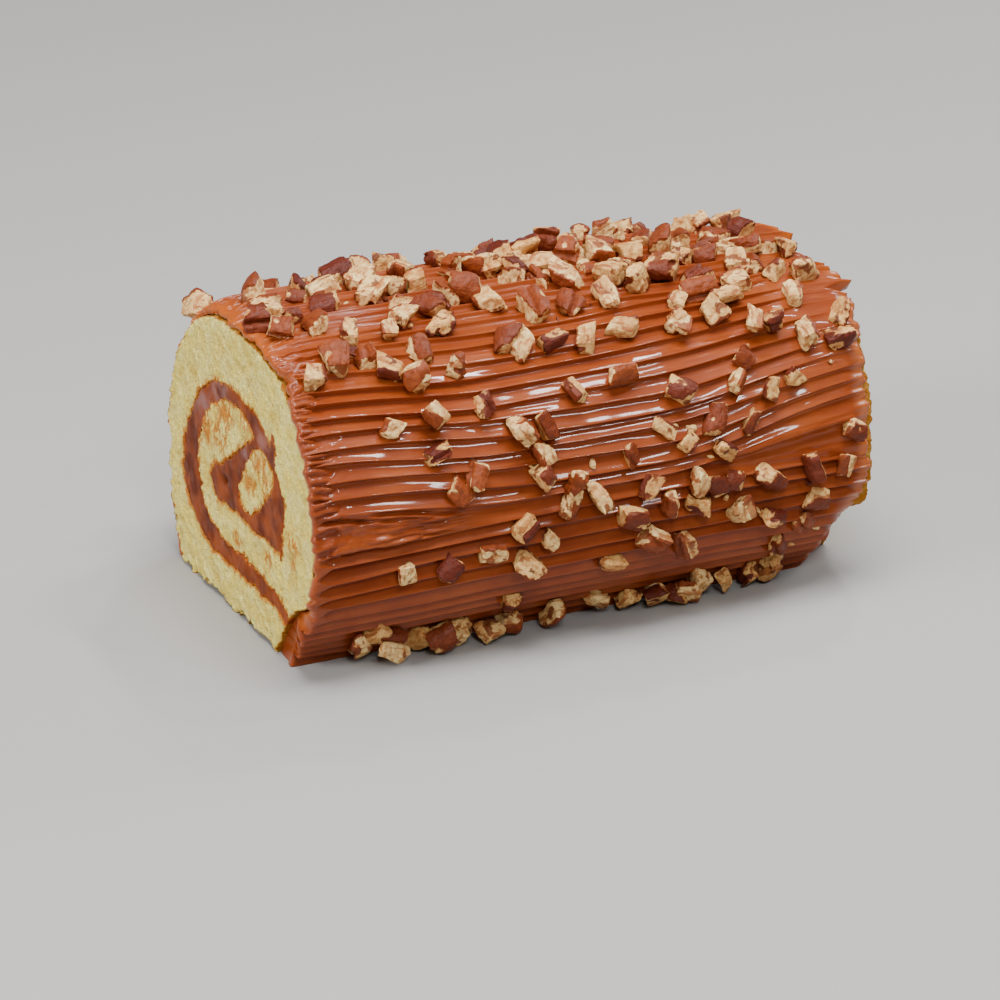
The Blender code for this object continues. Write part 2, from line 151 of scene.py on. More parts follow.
# By the near rim: the folded lip before the upper flutes, and the wedges that open into the lower ones.
FOLD_DEPTH = 0.00135
TONGUE_LENGTH = 0.0068
WEDGE_LENGTH = 0.0034
# The coat's length, its gap to the sponge at the rim, and the stations of its lining.
COAT_LENGTH = 0.156
RIM_GAP = 0.00005
LINING_STATIONS = (0.0014, TAPER_FROM, COAT_LENGTH - 0.004)
# Rows over the coat's cut rim: (station, share of the coat's thickness).
RIM_ROWS = (
    (0.0010, 0.10),
    (0.0003, 0.25),
    (0.0001, 0.47),
    (0.0000, 0.68),
    (0.0002, 0.85),
    (0.0006, 0.95),
    (0.0012, 0.99),
)
# Columns of points over one flute, as shares of its width, and the number over the wide seam.
FLUTE_COLUMNS = (0.0, 0.025, 0.055, 0.10, 0.17, 0.27, 0.39, 0.52, 0.65, 0.77, 0.85, 0.91, 0.95, 0.98)
SEAM_COLUMNS = 30

# The cut faces. Points of the section are SECTION_GRID apart, and SECTION_EDGE along outlines.
SECTION_GRID = 0.00056
SECTION_EDGE = 0.00044
# Stations of the points on the wall between the cut faces.
WALL_STATIONS = (0.0006, 0.0014, 0.0028, 0.0060, 0.100, 0.154, 0.1572, 0.1586, 0.1594)
# How far in from a cut face its unevenness reaches, and about half the roll's height.
END_FADE = 0.003
HALF_HEIGHT = 0.045
# The sponge's baked skin, the nicks in its rim, and how far its foot is broken away.
SKIN_THICKNESS = 0.00048
NICK_DEPTH = 0.0012
FOOT_BREAK = 0.0032
# Spikes of spread that the knife dragged over the sponge.
DRAG_SPIKES = (
    ((-0.0212, 0.0530), (-0.0226, 0.0575), (-0.0243, 0.0617), (-0.0262, 0.0580), (-0.0270, 0.0520)),
    ((-0.0262, 0.0340), (-0.0270, 0.0310), (-0.0275, 0.0272), (-0.0288, 0.0300), (-0.0290, 0.0350)),
)
# A hollow in the spread, darkened with painted shade, spots of painted violet sheen on it: (y, z, size),
# and spots where it has stained the sponge: (y, z, size, strength).
POCKET = (0.0095, 0.0362)
PAINTED_SHEEN_SPOTS = (
    (0.0235, 0.0540, 0.0065),
    (0.0120, 0.0610, 0.0065),
    (-0.0180, 0.0570, 0.0040),
    (-0.0060, 0.0480, 0.0040),
)
STAIN_SPOTS = (
    (0.0080, 0.0555, 0.0050, 1.0),
    (0.0200, 0.0465, 0.0050, 0.9),
    (0.0110, 0.0480, 0.0060, 0.7),
    (-0.0050, 0.0580, 0.0040, 0.6),
    (-0.0080, 0.0420, 0.0035, 1.0),
    (-0.0150, 0.0500, 0.0050, 0.9),
    (-0.0200, 0.0440, 0.0040, 0.7),
    (0.0020, 0.0220, 0.0025, 0.8),
    (-0.0190, 0.0245, 0.0030, 0.7),
    (-0.0370, 0.0355, 0.0045, 0.6),
    (-0.0360, 0.0300, 0.0030, 0.5),
)

# Chopped pecans. A piece is a nut's lobe cut by planes.
LOBE_SEMI_AXES = (0.0120, 0.0050, 0.0042)
LOBE_SIDES = 6
LOBE_COARSE_GROWTH = 1.06
PIECE_LENGTH = (0.0058, 0.0092)
PIECE_SCALE = (0.88, 1.14)
SPREAD_CANDIDATES = 3
# How deep a piece is sunk in the coat, its size on the front beside the solids', and its grid's cells.
SUNK_DEPTH = 0.0024
PIECE_TRIM = 0.865
PIECE_GRID = 9
# Breaks at a piece's corners, with the share of its size that each leaves, and a deeper bite in some.
PIECE_CHIPS = 4
CHIP_LEFT = (0.72, 0.90)
BITE_LIMIT = 0.78
BITE_WIDTH = 0.09
BITE_DEPTH = 0.20
# The furrow that most lobes have on top.
FURROW_WIDTH = 0.0008
FURROW_DEPTH = 0.0014
# Pieces near the foot lie on the floor, and every other one of them has lost its skin.
FOOT_ZONE = 0.0085
FOOT_PUSH = 0.0062
FOOT_FRONT = -0.0345
FOOT_SKIN = (1.0, 0.0)
# The loose pieces at the foot get a pale tone, which is painted light.
FOOT_PAINTED_LIGHT_TONE = 0.9
FLOOR_CLEARANCE = 0.0003
SMALL_PIECES = 34
SMALL_SCALE = (0.55, 0.80)
SMALL_SPREAD = 0.009
# The first number of each run of pieces, and the seeds that are counted up from.
SMALL_NUMBERS = 400
FOOT_NUMBERS = 500
BITE_NUMBERS = 3000
PIECE_SEED = 1000
CHIP_SEED = 5000
CRUMBS = 55
CRUMB_SPREAD = 0.007
CRUMB_GRID = 3
CRUMB_RADIUS = (0.0005, 0.0012)
SHARP_ANGLE = math.radians(34.0)
# More pieces that lie at the foot: (station, how far out from the foot, size).
FOOT_PIECES = (
    (0.0165, 0.0020, 0.85),
    (0.0235, 0.0105, 0.95),
    (0.0370, 0.0045, 0.80),
    (0.0430, 0.0065, 0.75),
    (0.0590, 0.0055, 0.80),
    (0.1010, 0.0050, 0.85),
    (0.1090, 0.0080, 0.90),
)
# Patches of the coat and their pieces: (from station, to station, from reach, to reach, pieces, seed).
PECAN_PATCHES = (
    (0.012, 0.061, 0.001, 0.007, 6, 6114),
    (0.066, 0.103, 0.001, 0.007, 4, 17767),
    (0.104, 0.138, 0.001, 0.007, 5, 2716),
    (0.016, 0.060, 0.010, 0.020, 3, 3084),
    (0.076, 0.143, 0.020, 0.030, 4, 14111),
    (0.022, 0.067, 0.032, 0.046, 6, 13104),
    (0.084, 0.113, 0.033, 0.049, 7, 18599),
    (0.114, 0.151, 0.030, 0.049, 7, 6531),
    (0.035, 0.064, 0.053, 0.064, 4, 18759),
    (0.066, 0.096, 0.046, 0.060, 4, 14086),
    (0.095, 0.126, 0.055, 0.073, 7, 3677),
    (0.117, 0.154, 0.054, 0.083, 6, 16932),
    (0.023, 0.066, 0.065, 0.079, 6, 28488),
    (0.072, 0.092, 0.074, 0.080, 2, 34149),
    (0.025, 0.046, 0.084, 0.097, 4, 32621),
    (0.005, 0.033, 0.090, 0.106, 5, 14766),
    (0.036, 0.060, 0.101, 0.118, 5, 20237),
    (0.060, 0.095, 0.088, 0.106, 8, 25040),
    (0.062, 0.107, 0.106, 0.117, 4, 648),
    (0.106, 0.126, 0.087, 0.100, 5, 30854),
    (0.127, 0.154, 0.084, 0.105, 7, 4251),
    (0.002, 0.050, 0.113, 0.130, 9, 1),
    (0.052, 0.106, 0.117, 0.131, 10, 2),
    (0.106, 0.152, 0.104, 0.131, 13, 3),
    (0.003, 0.152, 0.131, 0.146, 20, 4),
    (0.006, 0.150, 0.147, 0.176, 16, 5),
    (0.010, 0.148, 0.178, 0.238, 13, 6),
)

# Colours, linear.
CARAMEL_DEEP = (0.225, 0.037, 0.0055)
CARAMEL_MIDDLE = (0.280, 0.054, 0.0090)
CARAMEL_PALE = (0.36, 0.083, 0.018)
# Painted shade for the dark lines in the coat's grooves, under the ridges.
CARAMEL_GROOVE_SHADE = (0.150, 0.017, 0.0018)
CARAMEL_THIN = (0.47, 0.105, 0.009)
PECAN_FLESH_WARM = (0.73, 0.425, 0.142)
PECAN_FLESH_PALE = (0.88, 0.650, 0.288)
PECAN_FLESH_BROWN = (0.44, 0.165, 0.042)
PECAN_SKIN_LIGHT = (0.26, 0.053, 0.012)
PECAN_SKIN_DARK = (0.10, 0.014, 0.006)
PECAN_SKIN_BLACK = (0.040, 0.007, 0.005)
SPONGE_PALE = (0.92, 0.79, 0.245)
SPONGE_YELLOW = (0.90, 0.705, 0.155)
SPONGE_ORANGE = (0.74, 0.39, 0.045)
SPONGE_STAINED = (0.58, 0.17, 0.018)
SPONGE_SKIN = (0.42, 0.14, 0.015)
# Painted shade in the sponge's pores and where its cut face lies deeper.
SPONGE_PORE_SHADE = (0.52, 0.29, 0.05)
# Painted shade for the hollow in the spread.
SPREAD_HOLLOW_SHADE = (0.035, 0.0060, 0.0020)
SPREAD_DEEP = (0.095, 0.0150, 0.0035)
SPREAD_MIDDLE = (0.245, 0.048, 0.0080)
# Painted violet sheen, a reflection on the glossy spread.
SPREAD_PAINTED_SHEEN = (0.26, 0.125, 0.112)
FLOOR_GREY = (0.37, 0.362, 0.35)

# The camera, in the photograph's place.
CAMERA_AIM = Vector((-0.00593, 0.00228, 0.0))
CAMERA_TURN = math.radians(24.3)
CAMERA_RISE = math.radians(23.64)
CAMERA_LEAN = math.radians(0.618)
CAMERA_DISTANCE = 1.469
CAMERA_LENS = 198.0
CAMERA_SENSOR = 36.0
# How far the camera's axis passes to the right of the aim and over it, in pixels over the focal length.
FOCAL_PIXELS = 5500.0
AIM_OFFSET = (0.68 / FOCAL_PIXELS, 66.1 / FOCAL_PIXELS)

# Lamps: (name, place, aim, size, power in watts). The small ones make the coat's thin highlights.
LAMPS = (
    ("overhead", (-0.06, -0.20, 1.10), (0.0, 0.0, 0.04), (0.70, 0.55), 17.5),
    ("left", (-1.15, -0.12, 0.55), (-0.05, 0.0, 0.04), (0.5, 0.4), 13.5),
    ("front_right", (0.52, -0.86, 0.90), (0.0, 0.0, 0.04), (0.085, 0.085), 1.6),
    ("top_right", (0.45, -0.32, 1.10), (0.0, 0.0, 0.04), (0.09, 0.09), 1.8),
    ("above_right", (0.45, 0.085, 1.10), (0.0, 0.0, 0.04), (0.08, 0.08), 1.5),
    ("back_right", (0.45, 0.46, 1.00), (0.0, 0.0, 0.04), (0.09, 0.09), 2.2),
    ("far_end", (1.15, 0.35, 0.60), (0.05, 0.0, 0.04), (0.60, 0.50), 8.0),
    ("front", (-0.30, -1.10, 0.95), (0.0, 0.0, 0.04), (0.40, 0.40), 7.0),
)
# The strength of the even light from all sides, and half the floor's width.
ROOM_LIGHT = 0.13
FLOOR_HALF = 3.0


def smooth(value):
    """Smooth step from 0 to 1, for numbers and arrays."""
    value = np.clip(value, 0.0, 1.0)
    return value * value * (3.0 - 2.0 * value)


def rise(value, start, width):
    """Smooth step from 0 at the start to 1 a width later."""
    return smooth((value - start) / width)


def fall(value, start, width):
    """Smooth step from 1 at the start to 0 a width later."""
    return 1.0 - rise(value, start, width)


def mound(value, middle, width):
    """A bell curve, 1 at the middle."""
    return np.exp(-(((value - middle) / width) ** 2))


def hashed(ix, iy, iz, seed):
    """A repeatable value from -1 to 1 for each whole grid point."""
    n = (ix * 73856093) ^ (iy * 19349663) ^ (iz * 83492791) ^ (seed * 40503)
    n = (n & 0x7FFFFFFF) * 1274126177 & 0x7FFFFFFF
    n = (n ^ (n >> 15)) * 668265263 & 0x7FFFFFFF
    n = n ^ (n >> 13)
    return (n & 0xFFFF) / 32767.5 - 1.0


def noise(x, y, z=0.0, seed=0):
    """Smooth lattice noise from -1 to 1 over arrays, with a feature size of about one unit."""
    x, y, z = np.broadcast_arrays(np.asarray(x, float), np.asarray(y, float), np.asarray(z, float))
    x0, y0, z0 = (np.floor(a).astype(np.int64) for a in (x, y, z))
    fx, fy, fz = (smooth(a - b) for a, b in ((x, x0), (y, y0), (z, z0)))
    total = 0.0
    for dx in (0, 1):
        for dy in (0, 1):
            for dz in (0, 1):
                weight = (fx if dx else 1 - fx) * (fy if dy else 1 - fy) * (fz if dz else 1 - fz)
                total = total + weight * hashed(x0 + dx, y0 + dy, z0 + dz, seed)
    return total


def uneven(x, y, seed):
    """Noise over a surface."""
    return noise(x, y, 0.0, seed)


def creases(x, y, seed, sharpness):
    """Sharp ridges over a surface, 1 on the ridges."""
    return (1.0 - np.abs(uneven(x, y, seed))) ** sharpness


def curve_points(control, steps, closed=False):
    """Points of the Catmull-Rom curve through the control tuples, steps to each span."""
    control = np.array(control, float)
    count = len(control)
    spans = count if closed else count - 1
    places = np.arange(spans * steps + (0 if closed else 1)) / steps
    span = np.minimum(places.astype(int), spans - 1)
    t = (places - span)[:, None]
    if closed:
        a, b, c, d = (control[(span + k) % count] for k in (-1, 0, 1, 2))
    else:
        a, b, c, d = (control[np.clip(span + k, 0, count - 1)] for k in (-1, 0, 1, 2))
    return 0.5 * (2 * b + (c - a) * t + (2 * a - 5 * b + 4 * c - d) * t**2 + (3 * b - a - 3 * c + d) * t**3)


def normals_of(points, closed=False):
    """The unit vectors to the left of a run of section points."""
    if closed:
        along = np.roll(points, -1, axis=0) - np.roll(points, 1, axis=0)
    else:
        along = np.gradient(points, axis=0)
    along /= np.linalg.norm(along, axis=1)[:, None]
    return np.stack((-along[:, 1], along[:, 0]), axis=1)


SHELL = curve_points(SHELL_EDGES, 16)
SHELL[:, (1, 3)] = np.maximum(SHELL[:, (1, 3)], 0.0)
SPONGE_EDGE = SHELL[:, :2]
COAT_EDGE = SHELL[:, 2:]
SPONGE_NORMAL = normals_of(SPONGE_EDGE)
COAT_NORMAL = normals_of(COAT_EDGE)
LINING_EDGE = SPONGE_EDGE + SPONGE_NORMAL * LINING_GAP
LINING_EDGE[:, 1] = np.maximum(LINING_EDGE[:, 1], 0.0)
LINING_EDGE[(0, -1), 1] = 0.0
COAT_REACH = np.concatenate(([0.0], np.cumsum(np.linalg.norm(np.diff(COAT_EDGE, axis=0), axis=1))))
EDGE_LENGTH = COAT_REACH[-1]
RIDGES = int(EDGE_LENGTH / RIDGE_PITCH)


def at_reach(table, reach):
    """Rows of a section table at given reaches."""
    return np.stack([np.interp(reach, COAT_REACH, column) for column in table.T], axis=-1)


def tapered(station, y, z):
    """A section point moved in as the roll narrows towards its far face."""
    share = np.maximum(0.0, (station - TAPER_FROM) / (ROLL_LENGTH - TAPER_FROM))
    return y * (1.0 - share * (1.0 - TAPER_WIDTH)), z * (1.0 - share * (1.0 - TAPER_HEIGHT))


def wobble(number, seed):
    """A repeatable value from -1 to 1 for a whole number."""
    return random.Random(number * 7919 + seed).uniform(-1.0, 1.0)


WANDER_PHASE = np.array([2.0 * wobble(ridge // 6, 5) for ridge in range(RIDGES + 1)])
TIP_SHARE = np.array([0.5 + 0.5 * wobble(ridge, 11) for ridge in range(RIDGES + 1)]) ** 1.5
TIP_LENGTH = TIP_REACH[0] + (TIP_REACH[1] - TIP_REACH[0]) * TIP_SHARE
TIP_LENGTH[[0, -1]] = 0.0


def ridge_reach(ridge, station):
    """The reach of each ridge at each station. The upper stroke of the comb rises from the lower one."""
    base = ridge * EDGE_LENGTH / RIDGES
    near = 1.0 - smooth(station / 0.055)
    far = rise(station, 0.095, 0.068)
    fade = 1.0 - smooth((ridge - SEAM_RIDGE) * RIDGE_PITCH / RISE_FADE)
    above = (SEAM_RISE_NEAR * near + SEAM_RISE_FAR * far) * fade
    below = -LOWER_DIP * near * ridge / SEAM_RIDGE
    shift = np.where(ridge >= SEAM_RIDGE, above, below)
    shift = shift + WANDER * np.sin(np.pi * ridge / RIDGES) * np.sin(station / 0.021 + WANDER_PHASE[ridge])
    shift = shift + RIDGE_SHIFT * uneven(ridge * 7.7, station / 0.036, 20)
    return np.where((ridge == 0) | (ridge == RIDGES), base, base + shift)


def mesh_object(name, vertices, faces):
    """A smooth-shaded mesh object from an array of vertices and a list of faces."""
    mesh = bpy.data.meshes.new(name)
    mesh.from_pydata(vertices.tolist(), [], [list(map(int, face)) for face in faces])
    mesh.validate()
    build = bmesh.new()
    build.from_mesh(mesh)
    bmesh.ops.recalc_face_normals(build, faces=build.faces)
    build.to_mesh(mesh)
    build.free()
    mesh.polygons.foreach_set("use_smooth", [True] * len(mesh.polygons))
    obj = bpy.data.objects.new(name, mesh)
    bpy.context.scene.collection.objects.link(obj)
    return obj


def set_attribute(obj, name, values):
    """Stores one value for each vertex."""
    layer = obj.data.attributes.new(name, "FLOAT", "POINT")
    layer.data.foreach_set("value", np.asarray(values, dtype=np.float32))


def grid_faces(index):
    """Quads over a grid of vertex numbers."""
    a, b, c, d = index[:-1, :-1], index[:-1, 1:], index[1:, 1:], index[1:, :-1]
    return np.stack((a, b, c, d), axis=-1).reshape(-1, 4)


# Combed caramel coat.


def coat_columns():
    """Places across the ridges, counted in ridges, more of them where the two strokes of the comb part."""
    places = []
    for ridge in range(RIDGES):
        if ridge == SEAM_RIDGE - 1:
            places += [ridge + k / SEAM_COLUMNS for k in range(SEAM_COLUMNS)]
        else:
            places += [ridge + part for part in FLUTE_COLUMNS]
    places.append(float(RIDGES))
    return np.array(places)


def coat_rows():
    """Stations along the coat, closer at both ends."""
    near = np.arange(0.0022, 0.0180, 0.0006)
    middle = np.arange(0.0190, 0.1380, 0.0016)
    far = np.linspace(0.1390, COAT_LENGTH, 22)
    return np.concatenate((near, middle, far))


def flute_profile(part):
    """Depth share across a flute, from the lower ridge's round top to the upper ridge's sharp edge."""
    lower = 1.0 - (1.0 - np.clip(part / FLUTE_BOTTOM, 0.0, 1.0)) ** 1.6
    upper = 1.0 - np.clip((part - FLUTE_BOTTOM) / 0.16, 0.0, 1.0) ** 1.6
    return np.hypot(np.minimum(lower, upper), CREST_ROUNDING) - CREST_ROUNDING


def seam_folds(part, station, wide):
    """Height of the folds in the band that the two strokes of the comb leave between them."""
    near = fall(station, 0.012, 0.006)
    lip = 0.80 + 0.05 * np.sin(station / 0.0030)
    crevice = 0.0016 * mound(part, lip, 0.050) * near * rise(station, 0.0012, 0.0020)
    by_rim = fall(station, 0.016, 0.008)
    wrinkle = uneven(part * 5.0 + station * 120.0, station / 0.0030, 7)
    wrinkle = (wrinkle + 0.7 * uneven(part * 9.0 - station * 150.0, station / 0.0017, 28)) * by_rim
    drift = 0.8 * uneven(station / 0.022, 0.0, 18) + station * 14.0
    strands = creases(part * 4.2 + drift, station / 0.040, 35, 4)
    strands = strands + 0.7 * creases(part * 8.0 - drift, station / 0.022, 36, 4)
    strands = strands + 0.45 * creases(part * 15.0 + 2.0 * drift, station / 0.016, 40, 4)
    long_folds = 0.00150 * (strands - 0.7) * (1.0 - near)
    fine = 0.00010 * uneven(part * 11.0, station / 0.014, 16)
    far = rise(station, 0.100, 0.020)
    rolled = mound(part, 0.86, 0.085) * 0.0012 - 0.0007 * smooth((0.80 - part) / 0.10)
    rolled = rolled * far * smooth(part / 0.06)
    return wide * (0.00040 * wrinkle + long_folds * (1.0 - 0.8 * far) + fine - crevice + rolled)


def comb_relief(place, station, reach, width):
    """Height of the coat's surface over its outer edge, and the share of painted shade in its grooves and
    folds.
    """
    ridge = np.floor(place)
    part = place - ridge
    across = np.abs(2.0 * part - 1.0)
    wide = rise(width / RIDGE_PITCH, 1.25, 0.6)
    depth = FLUTE_DEPTH * (1.0 + 0.14 * uneven(ridge * 3.1, station / 0.040, 1))
    depth = depth * (1.0 + 0.08 * uneven(ridge * 1.7, station / 0.014, 2))
    # The comb's ridges are smeared at the far end and rubbed flat by the near end of the top.
    smeared = rise(station, 0.126, 0.018) * rise(reach, 0.056, 0.010) * smooth((0.125 - reach) / 0.02)
    rubbed = smooth((0.040 - station) / 0.02) * rise(reach, 0.096, 0.008)
    patchy = smooth(0.5 + 0.9 * uneven(reach / 0.011, station / 0.012, 29))
    depth = depth * (1.0 - smeared * (0.45 + 0.45 * patchy)) * (1.0 - 0.35 * rubbed) * (1.0 - 0.55 * wide)
    depth = depth * (1.12 - 0.28 * rise(reach, 0.040, 0.02) - 0.14 * rise(reach, 0.085, 0.02))
    flute = -depth * flute_profile(part)

    # Low flutes start a little inside the rim, each as a wedge that opens from its middle.
    wedge_start = 0.0009 + 0.0009 * uneven(ridge * 2.3, 0.5, 3) + WEDGE_LENGTH * across**1.4
    wedge_start = wedge_start - WEDGE_LENGTH * fall(reach, 0.012, 0.014)
    low_part = flute * rise(station, wedge_start, 0.0014)

    # Upper flutes start behind a torn lip of caramel with small sharp folds that reach in from the rim.
    tongued = rise(reach, 0.042, 0.005) * fall(reach, 0.112, 0.010)
    torn = 0.0007 * uneven(place * 5.0, station / 0.0016, 24)
    tongue_end = TONGUE_LENGTH + 0.0024 * uneven(ridge * 4.7, 0.2, 9) - 0.0036 * across**1.2 + torn
    tongue = smooth((tongue_end - station) / 0.0010)
    fold = (2.0 * part + 0.25 * uneven(ridge * 3.7, station / 0.004, 26) + 0.5) % 1.0
    fold_depth = FOLD_DEPTH * (1.0 + 0.5 * uneven(ridge * 2.9 + np.floor(2.0 * part), station / 0.004, 27))
    fold_depth = fold_depth * (0.35 + 0.65 * rise(station, 0.0003, 0.0014))
    tongue_top = -fold_depth * flute_profile(fold) - 0.0003 * rise(station, 0.003, 0.005)
    high_part = flute * (1.0 - tongue) + tongue_top * tongue
    relief = low_part * (1.0 - tongued) + high_part * tongued
    # The share of painted shade: dark in the deepest part of each groove, under the ridge above, and in the
    # lip's folds.
    groove_shade = np.clip(-relief / FLUTE_DEPTH, 0.0, 1.0) ** 3.5
    groove_shade = np.maximum(groove_shade, 0.8 * tongue * tongued * flute_profile(fold) ** 2.5)

    by_rim = smooth((0.012 - station) / 0.006) * rise(reach, 0.040, 0.01)
    crumple = 0.00020 * uneven(reach / 0.0012, station / 0.0021, 25)
    crumple = crumple + 0.00060 * uneven(reach / 0.0021, station / 0.0028, 31) * rise(reach, 0.085, 0.02)
    pleats = creases(reach / 0.0023 + station / 0.006, station / 0.0060, 37, 3)
    crumple = crumple + 0.00110 * (pleats - 0.45) * rise(reach, 0.080, 0.015) * fall(reach, 0.140, 0.02)
    crumple = crumple * by_rim + smeared * 0.00045 * uneven(station / 0.010, reach / 0.0065, 32)

    crest = 0.00012 * uneven(ridge * 5.3, station / 0.016, 4) * across**3
    ripple = 0.00007 * uneven(station / 0.0048, reach / 0.0030, 15) * rise(reach, 0.04, 0.03)
    streak = 0.00003 * uneven(place * 6.0, station / 0.030, 5)
    streak = streak + 0.00002 * uneven(place * 15.0, station / 0.02, 6)
    swell = 0.00020 * uneven(reach / 0.020, station / 0.028, 8)
    return relief + crest + ripple + streak + seam_folds(part, station, wide) + swell + crumple, groove_shade


def coat_end(place):
    """Where the coat ends at each place across the ridges, and how far its end is torn into a tip there."""
    nearest = np.minimum((place + 0.5).astype(int), RIDGES)
    off = np.abs(place - nearest)
    tip = np.interp(place, np.arange(RIDGES + 1), TIP_LENGTH)
    reach = place * RIDGE_PITCH
    tooth_width = 1.9 + 0.9 * uneven(nearest * 1.31, 0.9, 38)
    ragged = smooth(1.0 - tooth_width * off)
    upper_end = rise(reach, 0.078, 0.012) * (1.0 - 0.65 * rise(reach, 0.145, 0.02))
    low_front = fall(ridge_reach(nearest, 0.15), 0.020, 0.02)
    drawn = smooth(0.35 + 2.2 * uneven(nearest * 0.83, 0.4, 19))
    drawn = drawn * (1.0 + 0.5 * uneven(nearest * 1.9, 0.7, 21)) * (0.15 + 0.85 * upper_end)
    tips = (0.12 + 0.30 * upper_end) * tip + 0.70 * TIP_LENGTH[nearest] * ragged * drawn
    end = COAT_LENGTH + UPPER_OVERHANG * (1.0 - low_front) + 0.70 * tips
    end = end + 0.0014 * uneven(place * 0.45, 0.0, 12) + 0.0006 * uneven(place * 3.0, 0.0, 17)
    end = end + 0.0010 * uneven(place * 1.3, 0.0, 33) - LOWER_SETBACK * smooth((0.046 - reach) / 0.008)
    end = end + 0.0008 * uneven(place * 6.0, 0.0, 39) * smooth((0.060 - reach) / 0.01)
    return end, ragged * np.clip(drawn, 0.3, 1.2)


def build_coat():
    """The coat's outer surface with rounded near rim and drawn-out far tips, closed by a lining."""
    place = coat_columns()
    ridge = np.minimum(place.astype(int), RIDGES - 1)
    part = place - ridge
    rows = coat_rows()
    stations = np.concatenate(([station for station, _ in RIM_ROWS], rows))
    share = np.concatenate(([thickness for _, thickness in RIM_ROWS], np.ones(len(rows))))
    station = np.repeat(stations[:, None], len(place), axis=1)
    low = ridge_reach(ridge[None, :], station)
    high = ridge_reach(ridge[None, :] + 1, station)
    width = high - low
    reach = low + width * part[None, :]
    relief, groove_shade = comb_relief(np.broadcast_to(place, station.shape), station, reach, width)

    end, tip_share = coat_end(place)
    along = station + (end[None, :] - COAT_LENGTH) * rise(station, 0.120, COAT_LENGTH - 0.120)
    front_bulge = rise(reach, 0.004, 0.012) * smooth((0.092 - reach) / 0.012)
    setback = 0.0002 * (1.0 - front_bulge) - 0.0011 * front_bulge
    setback = setback + 0.0012 * rise(reach, 0.130, 0.02)
    rim_wave = 0.0009 * uneven(reach / 0.0045, 0.3, 13) + 0.0007 * uneven(reach / 0.0014, 0.3, 14)
    along = along + (setback + rim_wave) * (1.0 - smooth(station / 0.006))

    edge = at_reach(COAT_EDGE, reach)
    normal = at_reach(COAT_NORMAL, reach)
    normal /= np.linalg.norm(normal, axis=-1)[..., None]
    lining = at_reach(LINING_EDGE, reach)
    lining = lining - normal * (LINING_GAP - RIM_GAP) * (share[:, None] < 0.2)[..., None]
    top_thin = 0.45 * rise(reach, 0.090, 0.02) * (1.0 - smooth(station / 0.010))
    to_end = (end[None, :] - along) / 0.007
    far_thin = 0.10 + 0.90 * smooth(to_end) ** 0.7
    full = edge + normal * relief[..., None]
    foot_sharp = fall(reach, 0.014, 0.018)
    lift = share[:, None] ** (1.0 - 0.80 * foot_sharp) * (1.0 - top_thin) * far_thin
    curl = TIP_CURL * (1.0 - smooth(to_end)) * tip_share[None, :]
    point = lining + (full - lining) * lift[..., None] + normal * curl[..., None]
    foot = np.minimum(reach, EDGE_LENGTH - reach)
    z = np.where(foot < 0.0004, 0.0, np.maximum(point[..., 1], 0.00015))
    y, z = tapered(along, point[..., 0], z)
    outer = np.stack((NEAR_FACE_X + along, y, z), axis=-1)

    inner = []
    for lining_station in LINING_STATIONS:
        row = np.flatnonzero(stations <= lining_station)[-1]
        points = at_reach(LINING_EDGE, reach[row])
        last = lining_station == LINING_STATIONS[-1]
        row_station = end - 0.0008 if last else np.full(len(place), lining_station)
        y_row, z_row = tapered(row_station, points[:, 0], points[:, 1])
        inner.append(np.stack((NEAR_FACE_X + row_station, y_row, z_row), axis=-1))
    inner = np.array(inner)

    outer_index = np.arange(outer.shape[0] * outer.shape[1]).reshape(outer.shape[:2])
    inner_index = outer_index.size + np.arange(inner.shape[0] * inner.shape[1]).reshape(inner.shape[:2])
    faces = [grid_faces(outer_index), grid_faces(inner_index)]
    faces.append(grid_faces(np.stack((inner_index[0], outer_index[0]))))
    faces.append(grid_faces(np.stack((outer_index[-1], inner_index[-1]))))
    vertices = np.concatenate((outer.reshape(-1, 3), inner.reshape(-1, 3)))
    feet = [list(outer_index[:, side]) + list(inner_index[::-1, side]) for side in (0, -1)]
    coat = mesh_object("caramel_coat", vertices, [f for group in faces for f in group.tolist()] + feet)
    plain = np.zeros(inner_index.size)
    set_attribute(coat, "thin", np.concatenate((np.clip(1.0 - lift, 0.0, 1.0).ravel(), plain)))
    set_attribute(coat, "groove_shade", np.concatenate((groove_shade.ravel(), plain)))
    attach(coat, "root")
    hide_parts("icing")
    return coat


# Chopped pecans.


def pecan_spots():
    """Places of the pieces as (station, reach), each the roomiest of a few random ones in its patch."""
    spots = []
    for low_x, high_x, low_reach, high_reach, pieces, seed in PECAN_PATCHES:
        draw = random.Random(seed)
        for _ in range(pieces):
            best, best_room = None, -1.0
            for _ in range(SPREAD_CANDIDATES):
                spot = (draw.uniform(low_x, high_x), draw.uniform(low_reach, high_reach))
                room = min((math.dist(spot, other) for other in spots), default=1.0)
                if room > best_room:
                    best, best_room = spot, room
            spots.append(best)
    return spots


def knife_cuts(draw):
    """The planes that a piece is cut by, as (point, outward normal) in the lobe's own axes."""
    long_axis, wide_axis, high_axis = LOBE_SEMI_AXES
    length = draw.uniform(*PIECE_LENGTH)
    middle = draw.uniform(-0.35, 0.35) * (2 * long_axis - length) / 2

    def tilt():
        """How far a cut leans."""
        return draw.uniform(-0.40, 0.40)

    side = draw.choice((-1.0, 1.0))
    front = Vector((middle + length / 2, 0.0, 0.0)), Vector((1.0, tilt(), tilt()))
    back = Vector((middle - length / 2, 0.0, 0.0)), Vector((-1.0, tilt(), tilt()))
    beside = side * draw.uniform(-0.10, 0.55) * wide_axis
    flank = Vector((middle, beside, 0.0)), Vector((tilt(), side, tilt()))
    below = -draw.uniform(0.10, 0.45) * high_axis
    bottom = Vector((middle, 0.0, below)), Vector((tilt() / 3, tilt() / 3, -1.0))
    return front, back, flank, bottom


